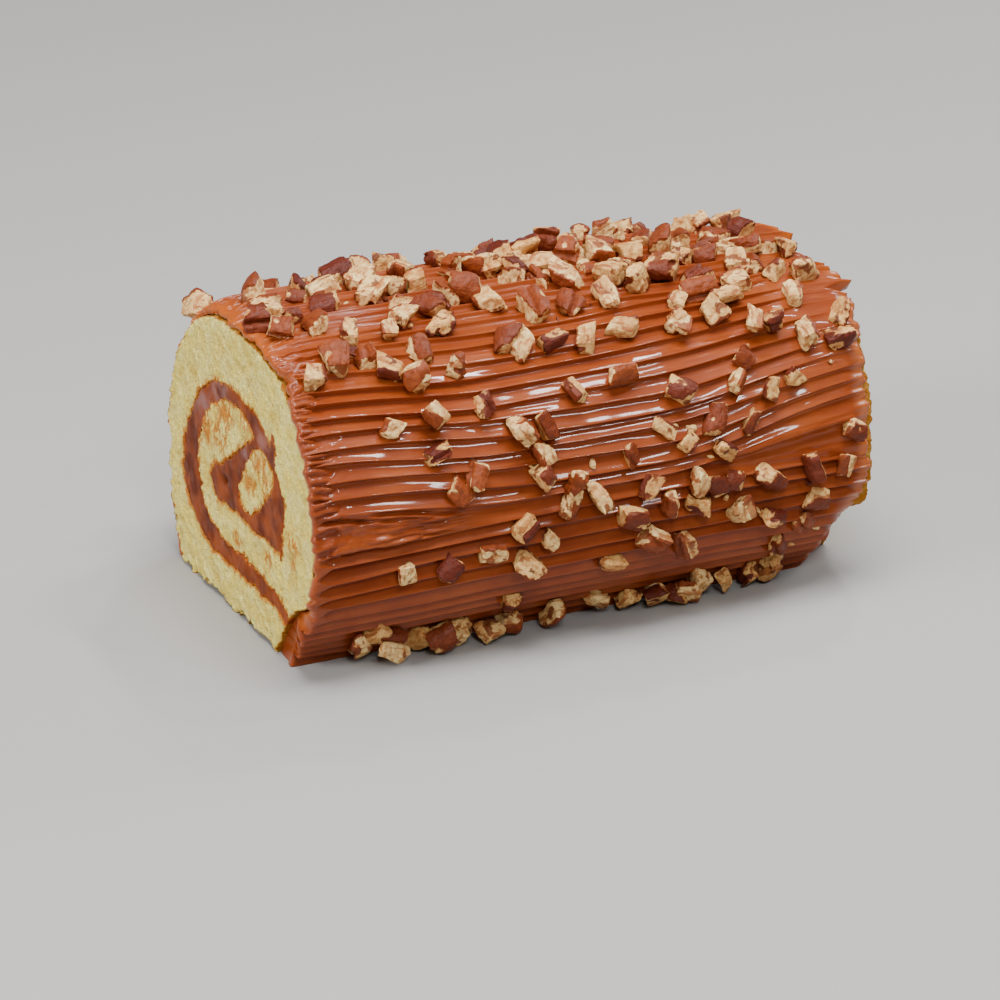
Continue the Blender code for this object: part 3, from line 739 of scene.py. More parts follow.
def coarse_corners(cuts):
    """Corners of the piece's coarse solid, in the lobe's own axes."""
    build = bmesh.new()
    long_axis, wide_axis, high_axis = LOBE_SEMI_AXES
    rings = []
    for end in (-long_axis, long_axis):
        ring = []
        for side in range(LOBE_SIDES):
            angle = 2.0 * math.pi * side / LOBE_SIDES
            across = wide_axis * LOBE_COARSE_GROWTH * math.cos(angle)
            up = high_axis * LOBE_COARSE_GROWTH * math.sin(angle)
            ring.append(build.verts.new((end, across, up)))
        rings.append(ring)
    near_ring, far_ring = rings
    for side in range(LOBE_SIDES):
        build.faces.new((near_ring[side - 1], near_ring[side], far_ring[side], far_ring[side - 1]))
    build.faces.new(near_ring)
    build.faces.new(far_ring)
    for point, normal in cuts:
        geometry = list(build.verts) + list(build.edges) + list(build.faces)
        cut = bmesh.ops.bisect_plane(build, geom=geometry, plane_co=point, plane_no=normal, clear_outer=True)
        edges = [item for item in cut["geom_cut"] if isinstance(item, bmesh.types.BMEdge)]
        bmesh.ops.contextual_create(build, geom=edges)
    corners = [vert.co.copy() for vert in build.verts]
    build.free()
    return corners


def piece_turn(draw, out):
    """A piece's turn: a random side down, spun and pitched, then turned to the way out of the coat."""
    spin = Quaternion((0.0, 0.0, 1.0), draw.uniform(0.0, 2.0 * math.pi))
    quarters = draw.choice((0.0, 0.5, 1.0, 1.5))
    roll = Quaternion((1.0, 0.0, 0.0), quarters * math.pi + draw.uniform(-0.35, 0.35))
    pitch = Quaternion((0.0, 1.0, 0.0), draw.uniform(-0.30, 0.30))
    return Vector((0.0, 0.0, 1.0)).rotation_difference(out) @ spin @ pitch @ roll


def cube_sphere(count):
    """Unit directions over a cube's grid, and its quads."""
    ticks = np.tan(np.linspace(-math.pi / 4, math.pi / 4, count + 1))
    u, v = (a.ravel() for a in np.meshgrid(ticks, ticks, indexing="ij"))
    one = np.ones_like(u)
    sides = ((one, u, v), (-one, v, u), (v, one, u), (u, -one, v), (u, v, one), (v, u, -one))
    points = np.concatenate([np.stack(side, axis=1) for side in sides])
    block = np.arange((count + 1) ** 2).reshape(count + 1, count + 1)
    quads = np.concatenate([grid_faces(block + k * block.size) for k in range(6)])
    _, first, same = np.unique(np.round(points, 6), axis=0, return_index=True, return_inverse=True)
    points = points[first]
    return points / np.linalg.norm(points, axis=1)[:, None], same.ravel()[quads]


DIRECTIONS, PIECE_QUADS = cube_sphere(PIECE_GRID)
CRUMB_DIRECTIONS, CRUMB_QUADS = cube_sphere(CRUMB_GRID)


def lobe_reach(origin, directions):
    """How far each ray from a point inside the lobe runs to the lobe's skin."""
    long_axis, wide_axis, high_axis = LOBE_SEMI_AXES
    scale = np.array((1.0 / (long_axis * 1.3), 1.0 / wide_axis, 1.0 / high_axis))
    start = origin * scale
    way = directions * scale
    square = (way * way).sum(axis=1)
    half = (start * way).sum(axis=1)
    root = np.sqrt(np.maximum(half * half - square * ((start * start).sum() - 1.0), 0.0))
    return (-half + root) / square


def chips(number):
    """Small breaks at the corners of a piece: (direction, share of the reach that is left)."""
    draw = random.Random(CHIP_SEED + number)
    found = []
    for _ in range(PIECE_CHIPS):
        way = Vector([draw.gauss(0.0, 1.0) for _ in range(3)]).normalized()
        found.append((np.array(way), draw.uniform(*CHIP_LEFT)))
    return found


def fine_piece(number, cuts, middle, size):
    """Vertices of a piece about its middle, the share of skin at each, and places for the fibres."""
    origin = np.array(middle)
    skin_distance = lobe_reach(origin, DIRECTIONS)
    distance = skin_distance.copy()
    for point, normal in cuts:
        normal = np.array(normal.normalized())
        facing = DIRECTIONS @ normal
        gap = (np.array(point) - origin) @ normal
        hit = np.where(facing > 1e-4, gap / np.maximum(facing, 1e-4), 1.0)
        distance = np.minimum(distance, hit)
    for way, left in chips(number):
        facing = DIRECTIONS @ way
        furthest = (facing * distance).max()
        hit = np.where(facing > 1e-3, left * furthest / np.maximum(facing, 1e-3), 1.0)
        distance = np.minimum(distance, hit)
    bite_way, bite_left = chips(number + BITE_NUMBERS)[0]
    bite = np.exp(-((1.0 - DIRECTIONS @ bite_way) / BITE_WIDTH))
    distance = distance * (1.0 - BITE_DEPTH * bite * (bite_left > BITE_LIMIT))
    skin = rise(distance / skin_distance, 0.84, 0.08)
    spots = origin + DIRECTIONS * distance[:, None]
    furrow_y = 0.0016 * wobble(number, 21)
    furrow = mound(spots[:, 1], furrow_y, FURROW_WIDTH) * rise(spots[:, 2], 0.0008, 0.0018)
    furrow = furrow * (FURROW_DEPTH if wobble(number, 22) > -0.3 else 0.0)
    skin = np.maximum(skin, smooth(furrow / 0.0010 - 0.15))
    spots[:, 2] -= furrow
    x, y, z = spots.T
    rough = 0.00042 * noise(x / 0.0024, y / 0.0024, z / 0.0024, 30 + number)
    rough = rough + 0.00020 * noise(x / 0.0010, y / 0.0010, z / 0.0010, 31 + number)
    along = spots + number * 0.05
    spots = spots + DIRECTIONS * rough[:, None] - origin
    return spots * size, skin, along


def nut_crumb(draw, spots):
    """One small crumb of nut beside a piece: vertices, skin, tone and fibre places."""
    station, reach = draw.choice(spots)
    station = min(max(station + draw.uniform(-CRUMB_SPREAD, CRUMB_SPREAD), 0.005), 0.150)
    reach = min(max(reach + draw.uniform(-CRUMB_SPREAD, CRUMB_SPREAD), 0.003), EDGE_LENGTH - 0.003)
    radius = draw.uniform(*CRUMB_RADIUS)
    shift = draw.uniform(0.0, 90.0)
    x, y, z = CRUMB_DIRECTIONS.T
    swelling = 1.0 + 0.45 * noise(x * 1.3 + shift, y * 1.3, z * 1.3, 34)
    shape = np.array((1.25, draw.uniform(0.6, 1.0), draw.uniform(0.5, 0.8)))
    turn = Quaternion([draw.gauss(0.0, 1.0) for _ in range(4)]).normalized()
    points = (CRUMB_DIRECTIONS * swelling[:, None] * shape * radius) @ np.array(turn.to_matrix()).T
    normal = at_reach(COAT_NORMAL, np.array(reach))
    y, z = tapered(station, *(at_reach(COAT_EDGE, np.array(reach)) + normal * (0.3 * radius - 0.0009)))
    points = points + np.array((NEAR_FACE_X + station, y, z))
    points[:, 2] = np.maximum(points[:, 2], 0.0001)
    return points, np.full(len(points), float(draw.random() < 0.4)), draw.random(), points + shift


def nut_piece(number, station, reach, trim):
    """One chopped piece where the coarse solid has it: vertices, skin, tone and fibre places."""
    draw = random.Random(PIECE_SEED + number)
    size = draw.uniform(*PIECE_SCALE) * trim
    cuts = knife_cuts(draw)
    corners = coarse_corners(cuts)
    lows = [min(corner[axis] for corner in corners) for axis in range(3)]
    highs = [max(corner[axis] for corner in corners) for axis in range(3)]
    middle = Vector([(low + high) / 2 for low, high in zip(lows, highs)])
    normal = at_reach(COAT_NORMAL, np.array(reach))
    out = Vector((0.0, normal[0], normal[1])).normalized()
    turn = piece_turn(draw, out)
    placed = [turn @ ((corner - middle) * size) for corner in corners]
    depth = -min(corner.dot(out) for corner in placed)
    y, z = at_reach(COAT_EDGE, np.array(reach))
    y, z = tapered(station, y, z)
    spot = Vector((NEAR_FACE_X + station, y, z)) + out * (depth - SUNK_DEPTH)
    if reach < FOOT_ZONE:
        spot.y -= FOOT_PUSH * draw.uniform(0.2, 1.0)
        spot.z = 0.0
    low = min(corner.z for corner in placed)
    spot.z = max(spot.z, FLOOR_CLEARANCE - low)
    points, skin, along = fine_piece(number, cuts, middle, size)
    turned = points @ np.array(turn.to_matrix()).T + np.array(spot)
    turned[:, 2] = np.maximum(turned[:, 2], 0.0001)
    return turned, skin, 0.5 + 0.5 * wobble(number, 23), along


def pecan_mesh(name, parts, quads):
    """One mesh of several pieces that all have the same quads."""
    points, skins, tones, places = zip(*parts)
    faces = np.concatenate([quads + number * len(points[0]) for number in range(len(parts))])
    pecans = mesh_object(name, np.concatenate(points), faces.tolist())
    pecans.data.set_sharp_from_angle(angle=SHARP_ANGLE)
    set_attribute(pecans, "skin", np.concatenate(skins))
    set_attribute(pecans, "tone", np.repeat(tones, len(points[0])))
    layer = pecans.data.attributes.new("fibre_place", "FLOAT_VECTOR", "POINT")
    layer.data.foreach_set("vector", np.concatenate(places).astype(np.float32).ravel())
    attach(pecans, "root")
    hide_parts("icing")
    return pecans


def build_pecans():
    """The chopped pieces of the solids, more on top and at the foot, and crumbs, as three meshes."""
    spots = pecan_spots()
    pieces = []
    for number, (station, reach) in enumerate(spots):
        trim = PIECE_TRIM + (1.0 - PIECE_TRIM) * float(rise(reach, 0.085, 0.02))
        points, skin, tone, along = nut_piece(number, station, reach, trim)
        if reach < FOOT_ZONE:
            skin = skin * FOOT_SKIN[number % 2]
        pieces.append((points, skin, tone, along))
    draw = random.Random(71)
    small = []
    for number in range(SMALL_PIECES):
        station, reach = draw.choice([spot for spot in spots if spot[1] > 0.095])
        station = min(max(station + draw.uniform(-SMALL_SPREAD, SMALL_SPREAD), 0.006), 0.148)
        reach = min(max(reach + draw.uniform(-SMALL_SPREAD, SMALL_SPREAD), 0.090), 0.160)
        small.append(nut_piece(SMALL_NUMBERS + number, station, reach, draw.uniform(*SMALL_SCALE)))
    for number, (station, out, size) in enumerate(FOOT_PIECES):
        points, skin, _, along = nut_piece(FOOT_NUMBERS + number, station, 0.0010, size)
        points[:, 1] += FOOT_FRONT - out - points[:, 1].mean()
        # A pale tone as painted light on the loose pieces at the foot.
        small.append((points, FOOT_SKIN[number % 2] * skin, FOOT_PAINTED_LIGHT_TONE, along))
    crumbs = [nut_crumb(draw, spots) for _ in range(CRUMBS)]
    return (
        pecan_mesh("chopped_pecans", pieces, PIECE_QUADS),
        pecan_mesh("small_pecans", small, PIECE_QUADS),
        pecan_mesh("pecan_crumbs", crumbs, CRUMB_QUADS),
    )


# Sponge and spread.


def resampled(points, spacing, closed=True):
    """The points of a run placed evenly, about a spacing apart."""
    if closed:
        points = np.concatenate((points, points[:1]))
    travel = np.concatenate(([0.0], np.cumsum(np.linalg.norm(np.diff(points, axis=0), axis=1))))
    count = max(int(travel[-1] / spacing), 8)
    places = np.linspace(0.0, travel[-1], count + 1)
    even = np.stack([np.interp(places, travel, column) for column in points.T], axis=1)
    return even[:-1] if closed else even


def anticlockwise(outline):
    """The outline in the turning sense that the triangulation needs."""
    y, z = outline.T
    area = (y * np.roll(z, -1) - np.roll(y, -1) * z).sum()
    return outline if area > 0.0 else outline[::-1]


def crumbled(outline, amount, seed):
    """An outline with a crumb's unevenness."""
    y, z = outline.T
    push = uneven(y / 0.0021, z / 0.0021, seed) + 0.7 * uneven(y / 0.0009, z / 0.0009, seed + 1)
    return outline + normals_of(outline, closed=True) * (amount * push)[:, None]


def band_outline():
    """The closed outline of the layer of spread, run on a little past the seam."""
    samples = curve_points(SPREAD_BAND, 8)
    samples = np.concatenate((samples[:1] - (samples[1:2] - samples[:1]) * 2.0, samples))
    side = normals_of(samples[:, :2])
    left = samples[:, :2] + side * samples[:, 2:]
    right = samples[:, :2] - side * samples[:, 2:]
    return np.concatenate((left, right[::-1]))


def nearest_distance(points, outline):
    """How far each point is from an outline's points."""
    gaps = np.full(len(points), np.inf)
    for start in range(0, len(outline), 200):
        block = outline[start : start + 200]
        apart = np.linalg.norm(points[:, None, :] - block[None, :, :], axis=2)
        gaps = np.minimum(gaps, apart.min(axis=1))
    return gaps


def roll_section():
    """The section's points, its triangles by region, and each point's distances to spread and rim."""
    roll = crumbled(resampled(SPONGE_EDGE, SECTION_EDGE), 0.00014, 40)
    roll[:, 1] = np.maximum(roll[:, 1], 0.0)
    band = crumbled(resampled(band_outline(), SECTION_EDGE), 0.00056, 42)
    middle = crumbled(resampled(curve_points(MIDDLE_SPREAD, 8, closed=True), SECTION_EDGE), 0.00046, 44)
    core = crumbled(resampled(curve_points(SHEET_END, 8, closed=True), SECTION_EDGE), 0.00050, 46)
    spikes = [resampled(np.array(spike), SECTION_EDGE) for spike in DRAG_SPIKES]
    outlines = [anticlockwise(outline) for outline in (roll, core, band, middle, *spikes)]

    draw = np.random.default_rng(47)
    ys, zs = np.meshgrid(np.arange(-0.052, 0.052, SECTION_GRID), np.arange(0.0004, 0.083, SECTION_GRID))
    grid = np.stack((ys.ravel(), zs.ravel()), axis=1)
    grid = grid + draw.uniform(-0.3, 0.3, grid.shape) * SECTION_GRID
    grid = grid[nearest_distance(grid, np.concatenate(outlines)) > 0.6 * SECTION_GRID]

    faces, count = [], 0
    for outline in outlines:
        faces.append(list(range(count, count + len(outline))))
        count += len(outline)
    points = np.concatenate(outlines + [grid])
    made = delaunay_2d_cdt(points.tolist(), [], faces, 1, 1e-7)
    places = np.array([tuple(point) for point in made[0]])
    sorted_faces = {"sheet": [], "core": [], "spread": []}
    for triangle, owners in zip(made[2], made[5]):
        if 0 not in owners:
            continue
        if 1 in owners:
            sorted_faces["core"].append(triangle)
        elif len(owners) > 1:
            sorted_faces["spread"].append(triangle)
        else:
            sorted_faces["sheet"].append(triangle)
    to_spread = nearest_distance(places, np.concatenate([band, middle, core]))
    rim = resampled(SPONGE_EDGE, SECTION_EDGE)
    return places, sorted_faces, to_spread, nearest_distance(places, rim)


def pits(y, z, spacing, size, seed):
    """Share of depth of scattered round pits, one to a cell of the given spacing."""
    cell_y, cell_z = np.floor(y / spacing), np.floor(z / spacing)
    deepest = np.zeros_like(y)
    for dy in (-1, 0, 1):
        for dz in (-1, 0, 1):
            iy, iz = (cell_y + dy).astype(np.int64), (cell_z + dz).astype(np.int64)
            py = (iy + 0.5 + 0.45 * hashed(iy, iz, iy * 0 + 1, seed)) * spacing
            pz = (iz + 0.5 + 0.45 * hashed(iy, iz, iy * 0 + 2, seed)) * spacing
            radius = size * (1.0 + 0.5 * hashed(iy, iz, iy * 0 + 3, seed))
            deepest = np.maximum(deepest, smooth(1.0 - np.hypot(y - py, z - pz) / radius))
    return deepest


def crumb_relief(y, z, seed):
    """How far the cut sponge lies behind its plane."""
    rolling = 0.00034 * uneven(y / 0.0060, z / 0.0060, seed)
    rolling = rolling + 0.00024 * uneven(y / 0.0024, z / 0.0024, seed + 1)
    grain = 0.00022 * uneven(y / 0.0011, z / 0.0011, seed + 2)
    pores = 0.00070 * pits(y, z, 0.0030, 0.0009, seed) + 0.00040 * pits(y, z, 0.0015, 0.0006, seed + 3)
    return rolling + grain + pores


def pocket_share(y, z, width, height):
    """A bell over the hollow in the spread."""
    return np.exp(-(((y - POCKET[0]) / width) ** 2 + ((z - POCKET[1]) / height) ** 2))


def strongest_spot(y, z, spots):
    """The strongest of round spots at each point, given as (y, z, size) or with a strength after them."""
    share = np.zeros(len(y))
    for spot_y, spot_z, size, *strength in spots:
        bell = np.exp(-(((y - spot_y) ** 2 + (z - spot_z) ** 2) / size**2))
        share = np.maximum(share, math.prod(strength) * bell)
    return share


def spread_relief(y, z, edge, seed):
    """How far the cut spread lies behind its plane, with knife marks, a hollow and a rounded edge."""
    marks = uneven((y * 0.4 + z * 0.9) / 0.0060, (y * 0.9 - z * 0.4) / 0.0012, seed)
    smear = 0.00003 * marks + 0.00030 * uneven(y / 0.0045, z / 0.0045, seed + 1)
    hollow = 0.0013 * pocket_share(y, z, 0.0022, 0.0011)
    return 0.00035 + smear + hollow - 0.00030 * smooth(edge / 0.0012)


def cut_body(name, places, triangles, relief_near, relief_far, foot_lift):
    """A body from section triangles: both cut faces and the wall between, narrowing as the roll does."""
    triangles = np.array(triangles)
    used, inverse = np.unique(triangles, return_inverse=True)
    triangles = inverse.reshape(-1, 3)
    y, z = places[used].T
    edges = np.concatenate((triangles[:, (0, 1)], triangles[:, (1, 2)], triangles[:, (2, 0)]))
    _, first, times = np.unique(np.sort(edges, axis=1), axis=0, return_index=True, return_counts=True)
    border = edges[first[times == 1]]
    ring, place = np.unique(border, return_inverse=True)
    border = place.reshape(-1, 2)

    def row(station, y, z):
        """The section's points at a station."""
        return np.stack((NEAR_FACE_X + station, *tapered(station, y, z)), axis=1)

    near = row(relief_near[used], y, z)
    far = row(ROLL_LENGTH - relief_far[used], y, z)
    vertices = [near, far]
    faces = [triangles, triangles[:, ::-1] + len(near)]
    walls = [ring]
    count = 2 * len(near)
    y_ring, z_ring = y[ring], z[ring]
    for station in WALL_STATIONS:
        by_near, by_far = math.exp(-station / END_FADE), math.exp(-(ROLL_LENGTH - station) / END_FADE)
        shove = 0.00040 * (by_near + by_far) * noise(y_ring / 0.0012, z_ring / 0.0012, station / 0.0012, 50)
        back = relief_near[used][ring] * by_near
        forth = relief_far[used][ring] * by_far
        growth = 1 + shove / HALF_HEIGHT
        vertices.append(row(station + back - forth, y_ring * growth, z_ring * growth))
        walls.append(count + np.arange(len(ring)))
        count += len(ring)
    walls.append(ring + len(near))
    start, stop = border.T
    for here, there in zip(walls, walls[1:]):
        faces.append(np.stack((here[start], here[stop], there[stop], there[start]), axis=1))
    vertices = np.concatenate(vertices)

    # The cut faces' foot is broken away in places.
    low = vertices[:, 2] < 0.0012
    ends = np.minimum(vertices[:, 0] - NEAR_FACE_X, NEAR_FACE_X + ROLL_LENGTH - vertices[:, 0])
    broken = 0.45 + 0.6 * uneven(vertices[:, 1] / 0.0026, 0.0, 52)
    broken = broken + 0.35 * uneven(vertices[:, 1] / 0.0011, 0.0, 53)
    lift = foot_lift * np.clip(broken, 0.0, 1.0) * np.exp(-np.abs(ends) / 0.0022)
    vertices[low, 2] = np.maximum(vertices[low, 2], lift[low])
    body = mesh_object(name, vertices, [face for group in faces for face in group.tolist()])
    return body, used, ring


def spread_over(values, used, ring):
    """A section value for every vertex of a cut body."""
    value = values[used]
    return np.concatenate((value, value, np.tile(value[ring], len(WALL_STATIONS))))


def build_cake():
    """The rolled sponge, its inner end, and the spread between, all from one section."""
    places, faces, to_spread, to_rim = roll_section()
    y, z = places.T
    soaking = 0.0007 + 0.0004 * uneven(y / 0.003, z / 0.003, 63)
    stain = np.maximum(strongest_spot(y, z, STAIN_SPOTS), 1.10 * np.exp(-to_spread / soaking))
    skin = np.exp(-to_rim / SKIN_THICKNESS)
    crumb_near, crumb_far = crumb_relief(y, z, 60), crumb_relief(y, z, 70)
    nicks = smooth(0.2 + 1.3 * uneven(y / 0.0017, z / 0.0017, 62)) * np.exp(-((to_rim / 0.0008) ** 2))
    nicks = nicks * (0.4 + 1.5 * smooth((y + 0.02) / 0.03) * fall(z, 0.035, 0.02))
    crumb_near, crumb_far = crumb_near + NICK_DEPTH * nicks, crumb_far + NICK_DEPTH * nicks
    soft_near, soft_far = spread_relief(y, z, to_spread, 80), spread_relief(-y, z, to_spread, 90)
    made = {}
    for region, name, node, slot in (
        ("sheet", "rolled_sponge", "sponge", "sponge"),
        ("core", "inner_sponge_end", "sponge_core", "sponge"),
        ("spread", "caramel_spread", "filling", "spread"),
    ):
        near, far = (soft_near, soft_far) if region == "spread" else (crumb_near, crumb_far)
        lift = FOOT_BREAK if region == "sheet" else 0.0
        body, used, ring = cut_body(name, places, faces[region], near, far, lift)
        if region == "spread":
            beside = np.intersect1d(used, np.unique(np.concatenate((faces["sheet"], faces["core"]))))
            shares = {
                # Painted violet sheen.
                "painted_sheen": strongest_spot(y, z, PAINTED_SHEEN_SPOTS),
                # Painted shade in the hollow.
                "hollow": pocket_share(y, z, 0.0026, 0.0015),
                "crumbs": np.exp(-nearest_distance(places, places[beside]) / 0.0006),
            }
        else:
            # Painted shade: the cut face is darker where it lies deeper.
            shaded_pores = smooth((crumb_near + 0.0001) / 0.0009)
            shares = {"stain": stain, "skin": skin, "shaded_pores": shaded_pores}
        for label, values in shares.items():
            set_attribute(body, label, spread_over(values, used, ring))
        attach(body, "root")
        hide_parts(node)
        made[region] = body
    return made


def main_camera():
    """A camera where the photograph was taken from."""
    turn_cos, turn_sin = math.cos(CAMERA_TURN), math.sin(CAMERA_TURN)
    rise_cos, rise_sin = math.cos(CAMERA_RISE), math.sin(CAMERA_RISE)
    ahead = Vector((turn_sin * rise_cos, turn_cos * rise_cos, -rise_sin))
    right = Vector((turn_cos, -turn_sin, 0.0))
    up = right.cross(ahead)
    place = CAMERA_AIM - ahead * CAMERA_DISTANCE
    leaned_right = right * math.cos(CAMERA_LEAN) - up * math.sin(CAMERA_LEAN)
    leaned_up = up * math.cos(CAMERA_LEAN) + right * math.sin(CAMERA_LEAN)
    axis = (ahead + leaned_right * AIM_OFFSET[0] + leaned_up * AIM_OFFSET[1]).normalized()
    side = axis.cross(leaned_up).normalized()
    top = side.cross(axis)
    data = bpy.data.cameras.new("camera")
    data.lens = CAMERA_LENS
    data.sensor_width = CAMERA_SENSOR
    data.clip_end = 20.0
    camera = bpy.data.objects.new("camera", data)
    camera.matrix_world = Matrix.Translation(place) @ Matrix((side, top, -axis)).transposed().to_4x4()
    bpy.context.scene.collection.objects.link(camera)
    bpy.context.scene.camera = camera


def area_light(name, place, aim, size, power):
    """A round white lamp that shines from its place to its aim."""
    data = bpy.data.lights.new(name, "AREA")
    data.shape = "ELLIPSE"
    data.size, data.size_y = size
    data.energy = power
    light = bpy.data.objects.new(name, data)
    way = (Vector(aim) - Vector(place)).normalized()
    light.rotation_mode = "QUATERNION"
    light.rotation_quaternion = way.to_track_quat("-Z", "Y")
    light.location = place
    bpy.context.scene.collection.objects.link(light)


# Materials.


class Graph:
    """Short ways to add and join the nodes of one tree."""

    def __init__(self, tree):
        self.tree = tree

    def add(self, kind, settings=None, **inputs):
        """A node with the given settings, and its inputs set to numbers or joined to sockets."""
        node = self.tree.nodes.new(kind)
        for name, value in (settings or {}).items():
            setattr(node, name, value)
        for name, value in inputs.items():
            self.feed(node, name.replace("_", " "), value)
        return node

    def feed(self, node, name, value):
        """Joins an input of a node to a socket or sets it. A name of digits is the input's number."""
        socket = node.inputs[int(name)] if name.isdigit() else node.inputs[name]
        if isinstance(value, bpy.types.NodeSocket):
            self.tree.links.new(value, socket)
        else:
            socket.default_value = value

    def attribute(self, name):
        """A value that the mesh stores."""
        node = self.add("ShaderNodeAttribute", {"attribute_name": name})
        return node.outputs["Fac"]

    def mix(self, share, first, second):
        """The first colour, and the second by the share."""
        node = self.add("ShaderNodeMix", {"data_type": "RGBA"})
        for name, value in ((0, share), (6, first), (7, second)):
            if isinstance(value, bpy.types.NodeSocket):
                self.tree.links.new(value, node.inputs[name])
            else:
                node.inputs[name].default_value = value if name == 0 else (*value, 1.0)
        return node.outputs[2]

    def tint(self, base, colour, share, most):
        """The base, and the colour by up to the most where the share is 1."""
        return self.mix(self.calculate("MULTIPLY", share, most), base, colour)

    def calculate(self, operation, first, second):
        """The number that an operation makes of two."""
        node = self.add("ShaderNodeMath", {"operation": operation})
        for place, value in enumerate((first, second)):
            self.feed(node, str(place), value)
        return node.outputs[0]

    def ramp(self, value, low, high):
        """The number 0 below low and 1 above high, smooth between."""
        node = self.add("ShaderNodeMapRange", {"interpolation_type": "SMOOTHSTEP"})
        for name, setting in (("Value", value), ("From Min", low), ("From Max", high)):
            self.feed(node, name, setting)
        return node.outputs[0]

    def fibres(self, place, spots_per_metre, low, high):
        """Noise drawn out along the nut, cut between two levels."""
        drawn = self.add("ShaderNodeVectorMath", {"operation": "MULTIPLY"})
        drawn.inputs[1].default_value = spots_per_metre
        self.tree.links.new(place, drawn.inputs[0])
        lines = self.add("ShaderNodeTexNoise", Vector=drawn.outputs[0], Scale=1.0, Detail=3.0)
        return self.ramp(lines.outputs[0], low, high)

    def group(self, tree, **inputs):
        """The output of a node group, with its inputs set or joined."""
        node = self.add("ShaderNodeGroup")
        node.node_tree = tree
        for name, value in inputs.items():
            self.feed(node, name.replace("_", " "), value)
        return node.outputs[0]


def new_group(name, inputs):
    """A shader group with number inputs, given with their first values, and one number output."""
    tree = bpy.data.node_groups.new(name, "ShaderNodeTree")
    for label, value in inputs.items():
        socket = tree.interface.new_socket(label, in_out="INPUT", socket_type="NodeSocketFloat")
        socket.default_value = value
    tree.interface.new_socket("Share", in_out="OUTPUT", socket_type="NodeSocketFloat")
    graph = Graph(tree)
    return tree, graph, graph.add("NodeGroupInput").outputs, graph.add("NodeGroupOutput").inputs[0]


def speckle_group():
    """Spots over the object: a smooth noise of a given size, cut between two levels."""
    inputs = {"Spots per metre": 500.0, "Detail": 2.0, "Low": 0.5, "High": 0.6}
    tree, graph, given, share = new_group("speckle", inputs)
    place = graph.add("ShaderNodeTexCoord").outputs["Object"]
    size, detail = given["Spots per metre"], given["Detail"]
    spots = graph.add("ShaderNodeTexNoise", Vector=place, Scale=size, Detail=detail)
    tree.links.new(graph.ramp(spots.outputs[0], given["Low"], given["High"]), share)
    return tree


def streak_group():
    """Streaks: noise with its own number of spots a metre along the roll, across it and up."""
    inputs = {"Along": 30.0, "Across": 1500.0, "Up": 1500.0, "Low": 0.3, "High": 0.7}
    tree, graph, given, share = new_group("streak", inputs)
    place = graph.add("ShaderNodeTexCoord").outputs["Object"]
    stretch = graph.add("ShaderNodeCombineXYZ", X=given["Along"], Y=given["Across"], Z=given["Up"])
    scaled = graph.add("ShaderNodeVectorMath", {"operation": "MULTIPLY"})
    tree.links.new(place, scaled.inputs[0])
    tree.links.new(stretch.outputs[0], scaled.inputs[1])
    lines = graph.add("ShaderNodeTexNoise", Vector=scaled.outputs[0], Scale=1.0, Detail=2.0)
    tree.links.new(graph.ramp(lines.outputs[0], given["Low"], given["High"]), share)
    return tree


def new_material(name):
    """A material, the graph of its nodes, and its shader."""
    made = bpy.data.materials.new(name)
    made.use_nodes = True
    return made, Graph(made.node_tree), made.node_tree.nodes["Principled BSDF"]


def bumped(graph, height, strength, distance):
    """A normal that follows a height."""
    node = graph.add("ShaderNodeBump", Strength=strength, Distance=distance, Height=height)
    return node.outputs[0]


def set_values(shader, values):
    """Sets a shader's plain values."""
    for name, value in values.items():
        shader.inputs[name].default_value = value


def caramel_finish(speckle, streak):
    """Cooked caramel icing: glossy red-brown, more orange where it is thin, with faint comb streaks and
    painted shade in its grooves.
    """
    made, graph, shader = new_material("caramel_coat")
    cloud = graph.group(speckle, Spots_per_metre=70.0, Detail=3.0, Low=0.35, High=0.68)
    base = graph.mix(cloud, CARAMEL_DEEP, CARAMEL_MIDDLE)
    lines = graph.group(streak, Along=25.0, Across=900.0, Up=900.0, Low=0.45, High=0.75)
    base = graph.tint(base, CARAMEL_PALE, lines, 0.35)
    # Painted shade in the grooves and folds.
    base = graph.tint(base, CARAMEL_GROOVE_SHADE, graph.attribute("groove_shade"), 0.85)
    base = graph.tint(base, CARAMEL_THIN, graph.ramp(graph.attribute("thin"), 0.05, 0.75), 0.65)
    graph.feed(shader, "Base Color", base)
    dull = graph.group(speckle, Spots_per_metre=160.0, Detail=2.0, Low=0.3, High=0.75)
    graph.feed(shader, "Roughness", graph.calculate("ADD", graph.calculate("MULTIPLY", dull, 0.14), 0.36))
    bubbles = graph.group(speckle, Spots_per_metre=1400.0, Detail=1.0, Low=0.62, High=0.72)
    fine = graph.group(streak, Along=60.0, Across=2600.0, Up=2600.0, Low=0.2, High=0.8)
    height = graph.calculate("SUBTRACT", fine, bubbles)
    graph.feed(shader, "Normal", bumped(graph, height, 0.13, 0.00012))
    values = {
        "Specular IOR Level": 0.14,
        "Coat Weight": 0.34,
        "Coat Roughness": 0.07,
        "Subsurface Weight": 0.12,
        "Subsurface Radius": (1.0, 0.35, 0.12),
        "Subsurface Scale": 0.0015,
    }
    set_values(shader, values)
    return made


